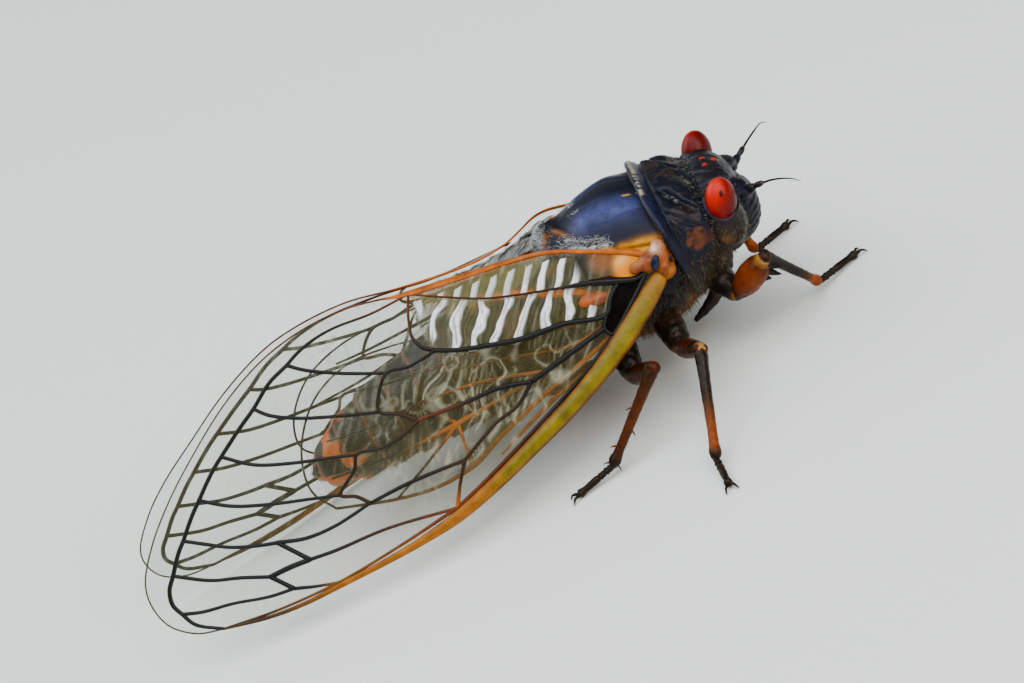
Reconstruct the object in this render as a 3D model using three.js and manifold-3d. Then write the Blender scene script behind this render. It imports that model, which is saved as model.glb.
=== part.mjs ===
// A life-size periodical cicada at rest, as a still museum model. Millimetres, +Z up, +X towards the head.
// The body and wings are shaped in a body frame that leans a few degrees. The legs stand on the floor, Z = 0.
import * as THREE from 'three';
import { mergeVertices } from 'three/addons/utils/BufferGeometryUtils.js';
import Module from 'manifold-3d';

const wasm = await Module();
wasm.setup();

// Driving dimensions, from a large periodical cicada: 29 mm of body, forewings of 33 mm
const GAP = 0.3; // left between pieces that touch
const WING_LENGTH = 33.4;
const WING_BASE = [5.0, 4.6, 7.0]; // left forewing's root on the thorax
const WING_TIP = [-28.3, 2.6, 4.95];
const EYE = { at: [9.15, 3.85, 8.3], size: [0.92, 0.98, 1.27] };
const HEAD_FRONT = 10.9;
const ABDOMEN_END = -17.8;
const MEMBRANE = 0.5; // thickness of a wing's clear skin
const LEAN = THREE.MathUtils.degToRad(6); // the back tilts this much to the animal's left
const SEEN_FROM = THREE.MathUtils.degToRad(22); // height over the side at which wing widths were measured

// Colours of the finishes
const finish = (color, roughness) => new THREE.MeshStandardMaterial({ color, roughness, metalness: 0 });
const BLACK_CUTICLE = finish(0x15171f, 0.45);
const BROWN_BLACK = finish(0x2a1d16, 0.5);
const RED_EYE = finish(0xd8260c, 0.25);
const ORANGE_LEG = finish(0x9c4a17, 0.45);
const ABDOMEN_BLACK = finish(0x1c1916, 0.5);
const WING_AMBER = finish(0xc9872b, 0.35);
const WING_CLEAR = finish(0xb9b08a, 0.3);

const clamp = THREE.MathUtils.clamp;
const lerp = THREE.MathUtils.lerp;
const smooth = (x, a, b) => THREE.MathUtils.smoothstep(x, a, b);
const bump = (x, centre, width) => Math.exp(-(((x - centre) / width) ** 2));

// A value along a list of [place, value] keys, eased between them
function along(keys, x) {
  if (x <= keys[0][0]) return keys[0][1];
  for (let i = 1; i < keys.length; i++) {
    if (x > keys[i][0]) continue;
    const [x0, v0] = keys[i - 1];
    const [x1, v1] = keys[i];
    const before = keys[Math.max(0, i - 2)];
    const after = keys[Math.min(keys.length - 1, i + 1)];
    const m0 = ((v1 - before[1]) / (x1 - before[0])) * (x1 - x0);
    const m1 = ((after[1] - v0) / (after[0] - x0)) * (x1 - x0);
    const u = (x - x0) / (x1 - x0);
    return (
      v0 * (2 * u ** 3 - 3 * u ** 2 + 1) + m0 * (u ** 3 - 2 * u ** 2 + u) +
      v1 * (3 * u ** 2 - 2 * u ** 3) + m1 * (u ** 3 - u ** 2)
    );
  }
  return keys[keys.length - 1][1];
}

// Solids

function solid(geometry) {
  const g = geometry.clone();
  g.deleteAttribute('normal');
  g.deleteAttribute('uv');
  const merged = mergeVertices(g, 1e-4);
  const made = new wasm.Manifold(new wasm.Mesh({
    numProp: 3,
    vertProperties: new Float32Array(merged.attributes.position.array),
    triVerts: new Uint32Array(merged.index.array),
  }));
  if (made.volume() < 0) throw new Error('a piece is inside out');
  return made;
}

function fromPoints(points, triangles) {
  return new THREE.BufferGeometry()
    .setAttribute('position', new THREE.Float32BufferAttribute(points.flat(), 3))
    .setIndex(triangles);
}

// The largest closed surface of a union, so that no loose scrap stays
function whole(made) {
  return made.decompose().sort((a, b) => b.volume() - a.volume())[0];
}

function join(pieces) {
  return pieces.reduce((sum, piece) => sum.add(piece));
}

// A closed skin through rings of points, with a fan at each end
function skin(rings) {
  const n = rings[0].length;
  const points = rings.flat();
  const triangles = [];
  for (let r = 0; r + 1 < rings.length; r++) {
    for (let i = 0; i < n; i++) {
      const a = r * n + i;
      const b = r * n + ((i + 1) % n);
      triangles.push(a, a + n, b, b, a + n, b + n);
    }
  }
  for (const [ring, first] of [[0, true], [rings.length - 1, false]]) {
    const centre = [0, 1, 2].map((k) => rings[ring].reduce((sum, p) => sum + p[k], 0) / n);
    points.push(centre);
    for (let i = 0; i < n; i++) {
      const a = ring * n + i;
      const b = ring * n + ((i + 1) % n);
      triangles.push(points.length - 1, ...(first ? [a, b] : [b, a]));
    }
  }
  return solid(fromPoints(points, triangles));
}

function ellipsoid(at, size, around = 14, down = 9, turn = [0, 0, 0]) {
  const g = new THREE.SphereGeometry(1, around, down).scale(...size);
  g.applyMatrix4(new THREE.Matrix4().makeRotationFromEuler(new THREE.Euler(...turn)));
  return solid(g.translate(...at));
}

// A body length: rings across X whose half width, level, rise and drop run along keys
function trunk({ xs, width, level, rise, drop, sides = 22, square = 2.2, relief = () => 0 }, grow = 0) {
  const reach = (v, power) => Math.sign(v) * Math.abs(v) ** (2 / power);
  const first = xs[0];
  const last = xs[xs.length - 1];
  return skin(xs.map((x) => {
    const at = x + grow * (x === first ? 1 : x === last ? -1 : 0);
    return Array.from({ length: sides }, (_, i) => {
      const turn = (i / sides) * 2 * Math.PI;
      const up = Math.sin(turn) >= 0;
      const out = grow + relief(x, turn);
      const tall = along(up ? rise : drop, x) + out;
      return [at, (along(width, x) + out) * reach(Math.cos(turn), square),
        along(level, x) + tall * reach(Math.sin(turn), square)];
    });
  }));
}

const steps = (from, to, count) => Array.from({ length: count + 1 }, (_, i) => lerp(from, to, i / count));

// Head: a wide crown between the eyes, a bulging face with cross grooves, ocelli, ledges over the feelers
const CROWN = { at: [8.9, 0, 7.75], size: [1.5, 3.95, 1.45] };
const FACE = { at: [9.1, 0, 6.15], size: [HEAD_FRONT - 9.05, 1.75, 2.15], grooves: 6, depth: 0.09 };
const CHIN = [
  { at: [8.5, 0, 5.7], size: [1.35, 2.35, 1.55] },
  { at: [8.45, 0, 4.6], size: [0.9, 0.85, 0.85] },
];
const OCELLUS = { size: 0.24, places: [[9.75, 0, 8.95], [9.2, 0.55, 9.12], [9.2, -0.55, 9.12]] };

function faceBulge(grow) {
  const g = new THREE.SphereGeometry(1, 14, 16);
  const p = g.attributes.position;
  for (let i = 0; i < p.count; i++) {
    const [x, y, z] = [p.getX(i), p.getY(i), p.getZ(i)];
    const groove = FACE.depth * Math.cos(y * Math.PI * FACE.grooves) * smooth(x, 0.1, 0.6);
    const size = FACE.size.map((v) => v + grow + (grow ? 0 : groove * smooth(Math.abs(z), 0.05, 0.4)));
    p.setXYZ(i, x * size[0], z * size[1], -y * size[2]);
  }
  return solid(g.rotateY(0.12).translate(...FACE.at));
}

function headSolid(grow = 0) {
  const bigger = (size) => size.map((v) => v + grow);
  const pieces = [
    ellipsoid(CROWN.at, bigger(CROWN.size), 18, 10),
    faceBulge(grow),
    ...CHIN.map(({ at, size }) => ellipsoid(at, bigger(size), 12, 8)),
  ];
  for (const side of [1, -1]) {
    pieces.push(ellipsoid([8.75, side * 3.3, 7.1], bigger([1.15, 1.15, 1.7]), 12, 8));
    const ledge = bigger([0.75, 0.85, 0.42]);
    pieces.push(ellipsoid([10.05, side * 1.95, 7.75], ledge, 10, 6, [0, 0.35, side * 0.3]));
  }
  if (!grow) pieces.push(...OCELLUS.places.map((at) => ellipsoid(at, Array(3).fill(OCELLUS.size), 7, 5)));
  return join(pieces);
}

function eyeSolid(side, grow = 0) {
  return ellipsoid([EYE.at[0], side * EYE.at[1], EYE.at[2]], EYE.size.map((v) => v + grow), 14, 10,
    [side * -0.18, 0.38, 0]);
}

// A limb length: rings across a bent line, thick or thin by a radius at each point
function limb(line, radii, sides = 8, flat = 1) {
  const points = line.map((p) => new THREE.Vector3(...p));
  const rings = [];
  let across = null;
  points.forEach((p, i) => {
    const ahead = points[Math.min(i + 1, points.length - 1)].clone()
      .sub(points[Math.max(i - 1, 0)]).normalize();
    if (!across) across = Math.abs(ahead.z) > 0.9 ? new THREE.Vector3(1, 0, 0) : new THREE.Vector3(0, 0, 1);
    across = across.clone().addScaledVector(ahead, -across.dot(ahead)).normalize();
    const beside = new THREE.Vector3().crossVectors(ahead, across);
    rings.push(Array.from({ length: sides }, (_, k) => {
      const turn = (k / sides) * 2 * Math.PI;
      return p.clone().addScaledVector(across, Math.cos(turn) * radii[i])
        .addScaledVector(beside, -Math.sin(turn) * radii[i] * flat).toArray();
    }));
  });
  return skin(rings);
}

// A straight limb piece with rounded ends and a swelling
function bone(a, b, thickA, thickB, swell = 0, sides = 8, flat = 1) {
  const places = [0, 0.1, 0.35, 0.65, 0.9, 1];
  const from = new THREE.Vector3(...a);
  const to = new THREE.Vector3(...b);
  const line = places.map((u) => from.clone().lerp(to, u).toArray());
  const radii = places.map((u) => {
    const round = u === 0 || u === 1 ? 0.6 : 1;
    return round * (lerp(thickA, thickB, u) + swell * Math.sin(Math.PI * u));
  });
  return limb(line, radii, sides, flat);
}

// Feelers: a stout root joint and a bristle of fine joints that thins to its tip
const FEELER_ROOT = [10.62, 2.2, 7.2];
const FEELER_LINE = [
  [0, 0, 0], [0.55, 0.35, 0.12], [1.25, 0.85, 0.1], [1.9, 1.3, -0.06], [2.6, 1.82, -0.45],
];
const FEELER_RADII = [0.27, 0.25, 0.17, 0.14, 0.07];

function feelerSolid(side) {
  const [rootX, rootY, rootZ] = FEELER_ROOT;
  const line = FEELER_LINE.map(([x, y, z]) => [rootX + x, side * (rootY + y), rootZ + z]);
  return whole(limb(line, FEELER_RADII, 6).subtract(headSolid(GAP * 0.7)));
}

// Beak: the long sucking mouth under the head, folded back between the forelegs
const BEAK_LINE = [[8.0, 0, 4.5], [7.3, 0, 3.2], [6.2, 0, 2.1], [4.4, 0, 1.3]];

function beakSolid() {
  return whole(limb(BEAK_LINE, [0.62, 0.5, 0.4, 0.16], 8)
    .subtract(headSolid(GAP)).subtract(prothorax(GAP)).subtract(mesothorax(GAP)));
}

// Prothorax: the saddle behind the head, with slanting furrows and a raised collar along its rear edge
const PRONOTUM = { front: 8.55, rear: 5.45 };

function prothorax(grow = 0) {
  return trunk({
    xs: [PRONOTUM.front, 8.25, 7.8, 7.3, 6.8, 6.3, 5.95, 5.75, PRONOTUM.rear],
    width: [[5.4, 4.85], [5.9, 4.75], [6.6, 4.5], [7.6, 4.25], [8.6, 3.7]],
    level: [[5.4, 7.6], [8.6, 7.5]],
    rise: [[5.4, 3.0], [6.5, 2.75], [7.8, 2.2], [8.6, 1.45]],
    drop: [[5.4, 4.6], [6.6, 4.2], [8.6, 3.0]],
    sides: 30,
    square: 2.25,
    relief: (x, turn) => {
      if (Math.sin(turn) < -0.3) return 0;
      const side = Math.abs(Math.cos(turn));
      const furrow = (place, slant) => -0.22 * bump(x, place + slant * side, 0.28) * smooth(side, 0.15, 0.4);
      const collar = 0.16 * bump(x, PRONOTUM.rear + 0.15, 0.3);
      return collar + furrow(6.1, 1.3) + furrow(5.9, 2.9) * smooth(side, 0.5, 0.8);
    },
  }, grow);
}

// Mesothorax: the smooth domed shield of the back, with the raised cross at its rear, over the chest
const MESONOTUM = { front: 5.1, rear: -0.9 };

function mesothorax(grow = 0) {
  return trunk({
    xs: [MESONOTUM.front, 4.8, 4.0, 3.0, 2.0, 1.2, 0.7, 0.3, -0.1, -0.5, MESONOTUM.rear],
    width: [[-1, 3.4], [0, 3.55], [1.5, 3.95], [3.4, 4.2], [5.1, 4.3]],
    level: [[-1, 7.5], [5.1, 7.7]],
    rise: [[-1, 2.35], [-0.4, 2.75], [0.9, 2.75], [2.2, 3.1], [4, 3.15], [5.1, 2.75]],
    drop: [[-1, 4.5], [1, 5.0], [3.5, 5.3], [5.1, 4.9]],
    sides: 28,
    square: 2.15,
    relief: (x, turn) => {
      if (Math.sin(turn) < 0.2) return 0;
      const side = Math.abs(Math.cos(turn));
      const cross = 0.3 * bump(side, 0.06 + 0.42 * Math.abs(x - 0.2), 0.13) * bump(x, 0.2, 0.95);
      const moat = -0.28 * bump(x, 0.2, 0.75) * smooth(side, 0.2, 0.5);
      return cross + moat;
    },
  }, grow);
}

// Abdomen: eight rings stepped like tiles, round above and flatter below, narrowing to a blunt tail
const RINGS = 8;
const ABDOMEN_START = -1.25;

function abdomen(grow = 0) {
  const step = (ABDOMEN_END + 2.2 - ABDOMEN_START) / RINGS;
  const xs = [ABDOMEN_START];
  for (let ring = 0; ring < RINGS; ring++) {
    const start = ABDOMEN_START + ring * step;
    xs.push(start + step * 0.3, start + step * 0.93, start + step);
  }
  xs.push(ABDOMEN_END + 1.2, ABDOMEN_END + 0.4, ABDOMEN_END);
  return trunk({
    xs,
    width: [[ABDOMEN_END, 0.35], [-17, 1.2], [-15.6, 1.8], [-13, 2.45], [-9, 2.95], [-5, 3.2], [-1.2, 2.95]],
    level: [[ABDOMEN_END, 5.0], [-12, 5.5], [-1.2, 6.4]],
    rise: [[ABDOMEN_END, 0.3], [-17, 1.0], [-15.6, 1.7], [-13, 2.3], [-9, 2.8], [-5, 3.05], [-1.2, 2.9]],
    drop: [[ABDOMEN_END, 0.35], [-17, 1.2], [-15.6, 1.75], [-13, 2.2], [-9, 2.8], [-5, 3.3], [-1.2, 3.4]],
    sides: 16,
    square: 2,
    relief: (x) => {
      const place = (x - ABDOMEN_START) / step;
      if (place <= 0 || place >= RINGS) return 0;
      const within = place - Math.floor(place + 1e-6);
      return within < 0.02 ? -0.1 : 0.14 * smooth(within, 0.1, 0.9) - 0.05;
    },
  }, grow);
}

// Opercula: the two plates under the waist that cover the hearing organs
function operculum(side) {
  const turn = [side * 0.35, -0.06, side * 0.1];
  const plate = ellipsoid([-2.7, side * 1.75, 2.75], [1.9, 1.3, 0.5], 12, 6, turn);
  return whole(plate.subtract(abdomen(GAP)).subtract(mesothorax(GAP)));
}

// The surface a wing lies on. s runs from root to tip. t runs across, as seen from SEEN_FROM over the side.
// The outer part is steep. Towards the back the wing bends over until its inner edge reaches the midline.
const STEEP = THREE.MathUtils.degToRad(68);
// How far the wing's axis bulges outwards
const AXIS_BOW = [[0, 0], [5, 1.05], [10, 1.55], [18, 1.15], [26, 0.5], [33.4, 0]];
const DROOP = 0.35; // how far the middle of the wing's axis hangs
const INNER_EDGE = [[0.8, 1.2], [3.2, 2.8], [5.3, 4.1], [7.5, 4.9], [9.7, 5.5], [12.9, 6.4], [16.4, 7.5],
  [20.2, 7.8], [22, 7.5], [24.9, 6.4], [27.6, 4.9], [30, 3.4], [32.1, 1.6], [33.6, 0.2]];
const RIDGE = [
  [0.8, 4.6], [2.2, 4.1], [3.2, 3.75], [4.4, 3.3], [5.3, 2.75], [6.3, 1.9], [7.5, 1.1], [9.5, 0.6],
  [14, 0.48], [22, 0.6], [28, 1.2], [33.6, 2.6],
];
const SLICES = 8;

function across(s, t, bend) {
  const u = s / WING_LENGTH;
  const bow = along(AXIS_BOW, s);
  const [x, y, z] = WING_BASE.map((v, k) => lerp(v, WING_TIP[k], u));
  let [py, pz] = [y + bow, z + bow * Math.tan(SEEN_FROM) - DROOP * Math.sin(Math.PI * clamp(u, 0, 1))];
  const edge = Math.max(along(INNER_EDGE, s), 0.5);
  const count = t > 0 ? SLICES : 1;
  let slope = STEEP;
  for (let i = 0; i < count; i++) {
    slope = STEEP - (t > 0 ? bend * smooth(((i + 0.5) / SLICES) * t / edge, 0.0, 1.0) : 0);
    const seen = Math.sin(SEEN_FROM) * Math.cos(slope) + Math.cos(SEEN_FROM) * Math.sin(slope);
    py -= (Math.cos(slope) / seen) * (t / count);
    pz += (Math.sin(slope) / seen) * (t / count);
  }
  return { x, y: py, z: pz, slope };
}

// The bend that brings the inner edge to its place beside the midline, found by halving
const bends = new Map();
function bendAt(s) {
  const key = Math.round(s * 50) / 50;
  if (!bends.has(key)) {
    let [low, high] = [0, 1.45];
    for (let i = 0; i < 18; i++) {
      const middle = (low + high) / 2;
      if (across(key, along(INNER_EDGE, key), middle).y > along(RIDGE, key)) low = middle;
      else high = middle;
    }
    bends.set(key, (low + high) / 2);
  }
  return bends.get(key);
}

// A point of a wing: out is measured away from the body, square to the surface. side: 1 left, -1 right.
function wingPoint(s, t, out, side) {
  const p = across(clamp(s, 0, 40), t, bendAt(clamp(s, 0.8, 33)));
  return [p.x, side * (p.y + Math.sin(p.slope) * out), p.z + Math.cos(p.slope) * out];
}

// A wing's veins, in millimetres of s and t: named junctions, and veins that run between them
const FORE_JUNCTIONS = {
  front: [0.0, -0.5], root: [0.9, 0.45], rear: [0.9, 1.3], arcLow: [4.2, -0.45], arcHigh: [2.7, 0.7],
  armLow: [4.7, -1.0], armCosta: [4.5, -1.6], fork: [9.5, -1.2], cross: [14.8, -2.75], node: [16.5, -4.7],
  nodeEnd: [24.3, -4.75], costaEnd: [25.6, -4.95], apex: [31.1, -3.6], clavusEnd: [12.9, 6.4],
  a: [16.1, 3.4], b: [13.9, 3.3], c: [17.5, 1.9], d: [15.9, 0.4], e: [19.8, 0.6], f: [21.7, -0.8],
  g: [20.5, -2.0], h: [26.1, -1.2], i: [25.0, -2.9], j: [27.4, -2.6], k: [26.6, -3.8],
  end1: [20.3, 6.5], end2: [23.1, 5.5], end3: [26.0, 4.25], end4: [28.2, 2.95], end5: [29.95, 1.7],
  end6: [31.7, 0.35], end7: [32.1, -2.2],
};
const FORE_VEINS = [
  ['front', [1.1, -1.7], [3.7, -2.9], [7, -4], [10.7, -4.85], [14.3, -5.4], [17, -5.6], [20.8, -5.4],
    'costaEnd'],
  ['costaEnd', [28.6, -4.4], 'apex'],
  ['apex', [32.9, -2.8], [33.7, -1.3], [33.5, 0.2], [32.1, 1.7], [30, 3.4], [27.6, 4.95], [24.9, 6.4],
    [22, 7.45], [20.2, 7.75], [16.4, 7.4], 'clavusEnd'],
  ['clavusEnd', [9.7, 5.5], [7.5, 4.9], [5.3, 4.1], [3.2, 2.8], 'rear'],
  ['rear', 'root'],
  ['root', 'front'],
  ['root', [2.8, -0.6], 'armCosta', [7.3, -2.5], [11.2, -3.5], [14.9, -4.35], 'node', [20.5, -4.8], 'nodeEnd',
    'costaEnd'],
  ['root', 'arcHigh', [4.4, 1.6], [7.9, 3.1], [9.5, 3.9], [11.6, 5.3], 'clavusEnd'],
  ['arcHigh', [3.6, 0.15], 'arcLow', [6.5, 0.35], [8.8, 0.9], [10.9, 1.7], 'b'],
  ['arcLow', 'armLow'],
  ['armLow', 'armCosta'],
  ['armLow', [7, -1.1], 'fork', [11.3, -0.5], [13.1, -0.2], 'd'],
  ['fork', [10.8, -1.85], [12.3, -2.0], 'cross', [15.7, -3.7], 'node'],
  ['clavusEnd', [13.6, 5.0], 'b', [14.9, 3.1], 'a', [17, 2.8], 'c', [16.6, 1.2], 'd', [17.1, 0.15],
    [18.4, 0.2], 'e', [20.3, 0.0], 'f', [21.0, -1.3], 'g', [18, -2.2], 'cross'],
  ['g', [22.9, -2.05], [24.6, -1.8], 'h', 'i', 'j', 'k', [25.5, -4.3], 'nodeEnd'],
  ['i', [23.5, -3.3], [20.5, -3.75], 'node'],
  ['a', [17.3, 4.1], [19, 5.3], 'end1'],
  ['c', [20.5, 3.3], 'end2'],
  ['e', [23, 2.1], 'end3'],
  ['f', [24.9, 0.6], 'end4'],
  ['h', [28.5, 0.2], 'end5'],
  ['j', [29.8, -1.1], 'end6'],
  ['k', [28.3, -3.3], [30.2, -2.6], 'end7'],
  ['clavusEnd', [16.4, 6.55], [18.6, 6.75], 'end1', [21.7, 6.1], 'end2', [24.6, 4.95], 'end3', [27.2, 3.7],
    'end4', [29.1, 2.4], 'end5', [30.9, 1.1], 'end6', [32.5, -0.6], 'end7', [31.7, -3.0], 'apex'],
];
const HIND_JUNCTIONS = {
  front: [2.2, -0.9], rear: [2.6, 0.6], fork: [8.5, -1.2], low: [14.6, -3.3], tip: [22.4, -1.3],
  a: [14.2, -0.9], b: [15.6, 1.2], c: [14.4, 2.6], end1: [21.8, 0.2], end2: [21.0, 2.1], end3: [18.8, 3.9],
  end4: [13.0, 4.2], end0: [19.2, -2.6],
};
const HIND_VEINS = [
  ['front', [5, -1.6], [9.5, -2.2], [12.5, -2.75], 'low', [17, -3.2], 'end0', 'tip'],
  ['tip', [23.1, 0.2], [22.5, 2.3], [20.5, 4.4], [18, 5.2], [15.5, 4.9], 'end4', [9.5, 3.3],
    [5.5, 1.9], 'rear'],
  ['rear', 'front'],
  ['front', [5, -0.8], 'fork', 'a', 'end1', 'tip'],
  ['fork', [12, 0.3], 'b', 'end2', 'end1'],
  ['rear', [8, 0.9], [12, 1.9], 'c', 'end3', 'end2'],
  ['a', 'low'],
  ['a', 'b'],
  ['b', 'c'],
  ['a', [17, -1.9], 'end0'],
  ['c', 'end4', 'end3'],
];
const VEIN_STEP = 1.7; // longest straight run along a vein
const CELL_INSET = 0.17; // half the width of a vein's ridge

// The veins as a plane graph: points, and neighbours of each point
function veinGraph(junctions, veins) {
  const points = [];
  const links = [];
  const known = new Map();
  const add = (p) => {
    const key = p.map((v) => v.toFixed(3)).join();
    if (!known.has(key)) {
      known.set(key, points.length);
      points.push(p);
      links.push(new Set());
    }
    return known.get(key);
  };
  for (const vein of veins) {
    const line = vein.map((p) => (typeof p === 'string' ? junctions[p] : p));
    const knots = line.map(([s, t]) => new THREE.Vector3(s, t, 0));
    const curve = new THREE.CatmullRomCurve3(knots, false, 'centripetal');
    let last = add(line[0]);
    for (let i = 1; i < line.length; i++) {
      const length = Math.hypot(line[i][0] - line[i - 1][0], line[i][1] - line[i - 1][1]);
      const cuts = Math.max(1, Math.round(length / VEIN_STEP));
      for (let k = 1; k <= cuts; k++) {
        const u = (i - 1 + k / cuts) / (line.length - 1);
        const p = k === cuts ? line[i] : curve.getPoint(u).toArray().slice(0, 2);
        const next = add(p);
        links[last].add(next);
        links[next].add(last);
        last = next;
      }
    }
  }
  return { points, links: links.map((set) => [...set]) };
}

// The cells between the veins, found by walking each edge and always turning the same way
function cellsOf({ points, links }) {
  const angle = (a, b) => Math.atan2(points[b][1] - points[a][1], points[b][0] - points[a][0]);
  const sorted = links.map((list, a) => [...list].sort((b, c) => angle(a, b) - angle(a, c)));
  const seen = new Set();
  const cells = [];
  let rim = null;
  sorted.forEach((list, start) => list.forEach((second) => {
    if (seen.has(start + '>' + second)) return;
    const cell = [];
    let [a, b] = [start, second];
    while (!seen.has(a + '>' + b)) {
      seen.add(a + '>' + b);
      cell.push(a);
      const around = sorted[b];
      const next = around[(around.indexOf(a) + around.length - 1) % around.length];
      [a, b] = [b, next];
    }
    const area = cell.reduce((sum, p, i) => {
      const q = cell[(i + 1) % cell.length];
      return sum + points[p][0] * points[q][1] - points[q][0] * points[p][1];
    }, 0);
    if (area > 0) cells.push(cell);
    else rim = cell;
  }));
  return { cells, rim };
}

// How far a line from p along way runs before it meets the cell's own outline
function reachAcross(corners, i, way) {
  const n = corners.length;
  const p = corners[i];
  let reach = Infinity;
  for (let k = 0; k < n; k++) {
    if (k === i || (k + 1) % n === i) continue;
    const [a, b] = [corners[k], corners[(k + 1) % n]];
    const edge = [b[0] - a[0], b[1] - a[1]];
    const turn = way.x * edge[1] - way.y * edge[0];
    const gap = [a[0] - p[0], a[1] - p[1]];
    const far = (gap[0] * edge[1] - gap[1] * edge[0]) / turn;
    const on = (gap[0] * way.y - gap[1] * way.x) / turn;
    if (far > 0 && on >= 0 && on <= 1) reach = Math.min(reach, far);
  }
  return reach;
}

// A cell's corners moved in from its veins, less where the cell is narrow
function inset(corners, by) {
  const n = corners.length;
  return corners.map((p, i) => {
    const a = corners[(i + n - 1) % n];
    const b = corners[(i + 1) % n];
    const toA = new THREE.Vector2(a[0] - p[0], a[1] - p[1]).normalize();
    const toB = new THREE.Vector2(b[0] - p[0], b[1] - p[1]).normalize();
    const left = new THREE.Vector2(-toB.y, toB.x);
    const half = Math.sqrt(Math.max((1 - toA.dot(toB)) / 2, 0));
    const middle = toA.clone().add(toB);
    if (middle.length() < 1e-3) middle.copy(left);
    middle.normalize();
    if (middle.dot(left) < 0) middle.negate();
    const far = Math.min(by / Math.max(half, 0.4), reachAcross(corners, i, middle) * 0.36);
    return [p[0] + middle.x * far, p[1] + middle.y * far];
  });
}

// One wing as a closed sheet. Veins are ridges raised in its outer face. Both faces have the same triangles.
function wingSheet(network, side, { outward, ridge, barRise }) {
  const graph = veinGraph(network.junctions, network.veins);
  const { cells, rim } = cellsOf(graph);
  const half = MEMBRANE / 2;
  const edge = new Set(rim);
  const points = [];
  const triangles = [];
  const both = (s, t, rise) => {
    points.push(wingPoint(s, t, outward + half + rise, side), wingPoint(s, t, outward - half, side));
    return points.length - 2;
  };
  const face = (a, b, c) => {
    const [top, low] = [[a, b, c], [c + 1, b + 1, a + 1]];
    for (const three of [top, low]) triangles.push(...(side > 0 ? [...three].reverse() : three));
  };
  const veinPoint = graph.points.map(([s, t], i) => both(s, t, edge.has(i) ? ridge * 0.3 : ridge));
  for (const cell of cells) {
    const corners = cell.map((i) => graph.points[i]);
    const isBar = network.isBar(corners);
    const inner = inset(corners, CELL_INSET);
    const panel = inner.map(([s, t]) => both(s, t, isBar ? barRise : 0));
    cell.forEach((a, i) => {
      const j = (i + 1) % cell.length;
      face(veinPoint[a], panel[i], panel[j]);
      face(veinPoint[a], panel[j], veinPoint[cell[j]]);
    });
    const contour = corners.map(([s, t], i) => new THREE.Vector2(s, t + 2e-3 * Math.sin(5 * i)));
    for (const [a, b, c] of THREE.ShapeUtils.triangulateShape(contour, [])) {
      face(panel[a], panel[c], panel[b]);
    }
  }
  rim.forEach((a, i) => {
    const b = veinPoint[rim[(i + 1) % rim.length]];
    const from = veinPoint[a];
    const wall = [[from, from + 1, b], [b, from + 1, b + 1]];
    for (const three of wall) triangles.push(...(side > 0 ? [...three].reverse() : three));
  });
  return solid(fromPoints(points, triangles));
}

const FOREWING = {
  junctions: FORE_JUNCTIONS,
  veins: FORE_VEINS,
  isBar: (corners) => corners.some(([s, t]) => s === 7 && t === -4),
};
const HINDWING = {
  junctions: HIND_JUNCTIONS,
  veins: HIND_VEINS,
  isBar: () => false,
};
const FORE_LAY = { outward: 0, ridge: 0.2, barRise: 0.35 };
const HIND_LAY = { outward: -(MEMBRANE + 0.1 + 1.45 * GAP), ridge: 0.1, barRise: 0 };

// The hinge of a forewing: two knobs where it meets the thorax
const HINGE = [
  { at: [4.75, 4.77, 7.25], size: [0.95, 0.75, 1.05] },
  { at: [3.9, 4.85, 7.7], size: [0.8, 0.6, 0.75] },
];

function hinge(side, grow = 0) {
  return join(HINGE.map(({ at: [x, y, z], size }) => (
    ellipsoid([x, side * y, z], size.map((v) => v + grow), 12, 8)
  )));
}

function forewing(side) {
  const made = wingSheet(FOREWING, side, FORE_LAY).add(hinge(side));
  return whole(made.subtract(mesothorax(GAP)).subtract(prothorax(GAP)));
}

function hindwing(side) {
  const made = wingSheet(HINDWING, side, HIND_LAY).subtract(hinge(side, GAP));
  return whole(made.subtract(mesothorax(GAP)).subtract(abdomen(GAP)));
}

// Legs. A point of the body frame, leaned as the body leans
function leaned([x, y, z]) {
  const p = new THREE.Vector3(x, y, z).applyAxisAngle(new THREE.Vector3(1, 0, 0), -LEAN);
  return p.toArray();
}

// Each leg's joints in floor coordinates: hip, trochanter, knee, ankle, toe. The hip is a body point.
const LEGS = {
  front_right: {
    hip: [6.6, -2.1, 4.2], turn: [7.3, -3.1, 3.2],
    knee: [9.6, -4.5, 5.1], ankle: [11.35, -1.9, 0.6], toe: [14.0, -0.5],
  },
  front_left: {
    hip: [6.6, 2.1, 4.2], turn: [7.0, 3.3, 3.0],
    knee: [8.6, 5.4, 4.9], ankle: [9.1, 4.8, 0.6], toe: [11.5, 6.3],
  },
  middle_right: {
    hip: [3.2, -2.3, 3.4], turn: [3.2, -4.0, 2.6],
    knee: [4.2, -7.9, 4.1], ankle: [2.1, -12.6, 0.6], toe: [2.1, -15.1],
  },
  middle_left: {
    hip: [3.2, 2.3, 3.4], turn: [3.2, 4.0, 2.4],
    knee: [4.4, 7.8, 4.0], ankle: [3.3, 12.3, 0.6], toe: [2.8, 14.7],
  },
  hind_right: {
    hip: [0.4, -2.2, 3.6], turn: [0.2, -3.9, 2.5],
    knee: [1.5, -7.0, 4.1], ankle: [-3.1, -7.8, 0.6], toe: [-5.6, -8.0],
  },
  hind_left: {
    hip: [0.4, 2.2, 3.6], turn: [0.2, 3.9, 1.8],
    knee: [0.9, 7.5, 2.3], ankle: [-4.2, 8.9, 0.6], toe: [-6.8, 9.3],
  },
};
const THICK = {
  front: { coxa: 0.8, thigh: [0.62, 0.62], swell: 0.42, shin: [0.42, 0.36] },
  middle: { coxa: 0.8, thigh: [0.55, 0.5], swell: 0.1, shin: [0.4, 0.36] },
  hind: { coxa: 0.8, thigh: [0.55, 0.46], swell: 0.08, shin: [0.38, 0.34] },
};
const TOE = { thick: 0.3, claw: 0.75 };

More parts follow.
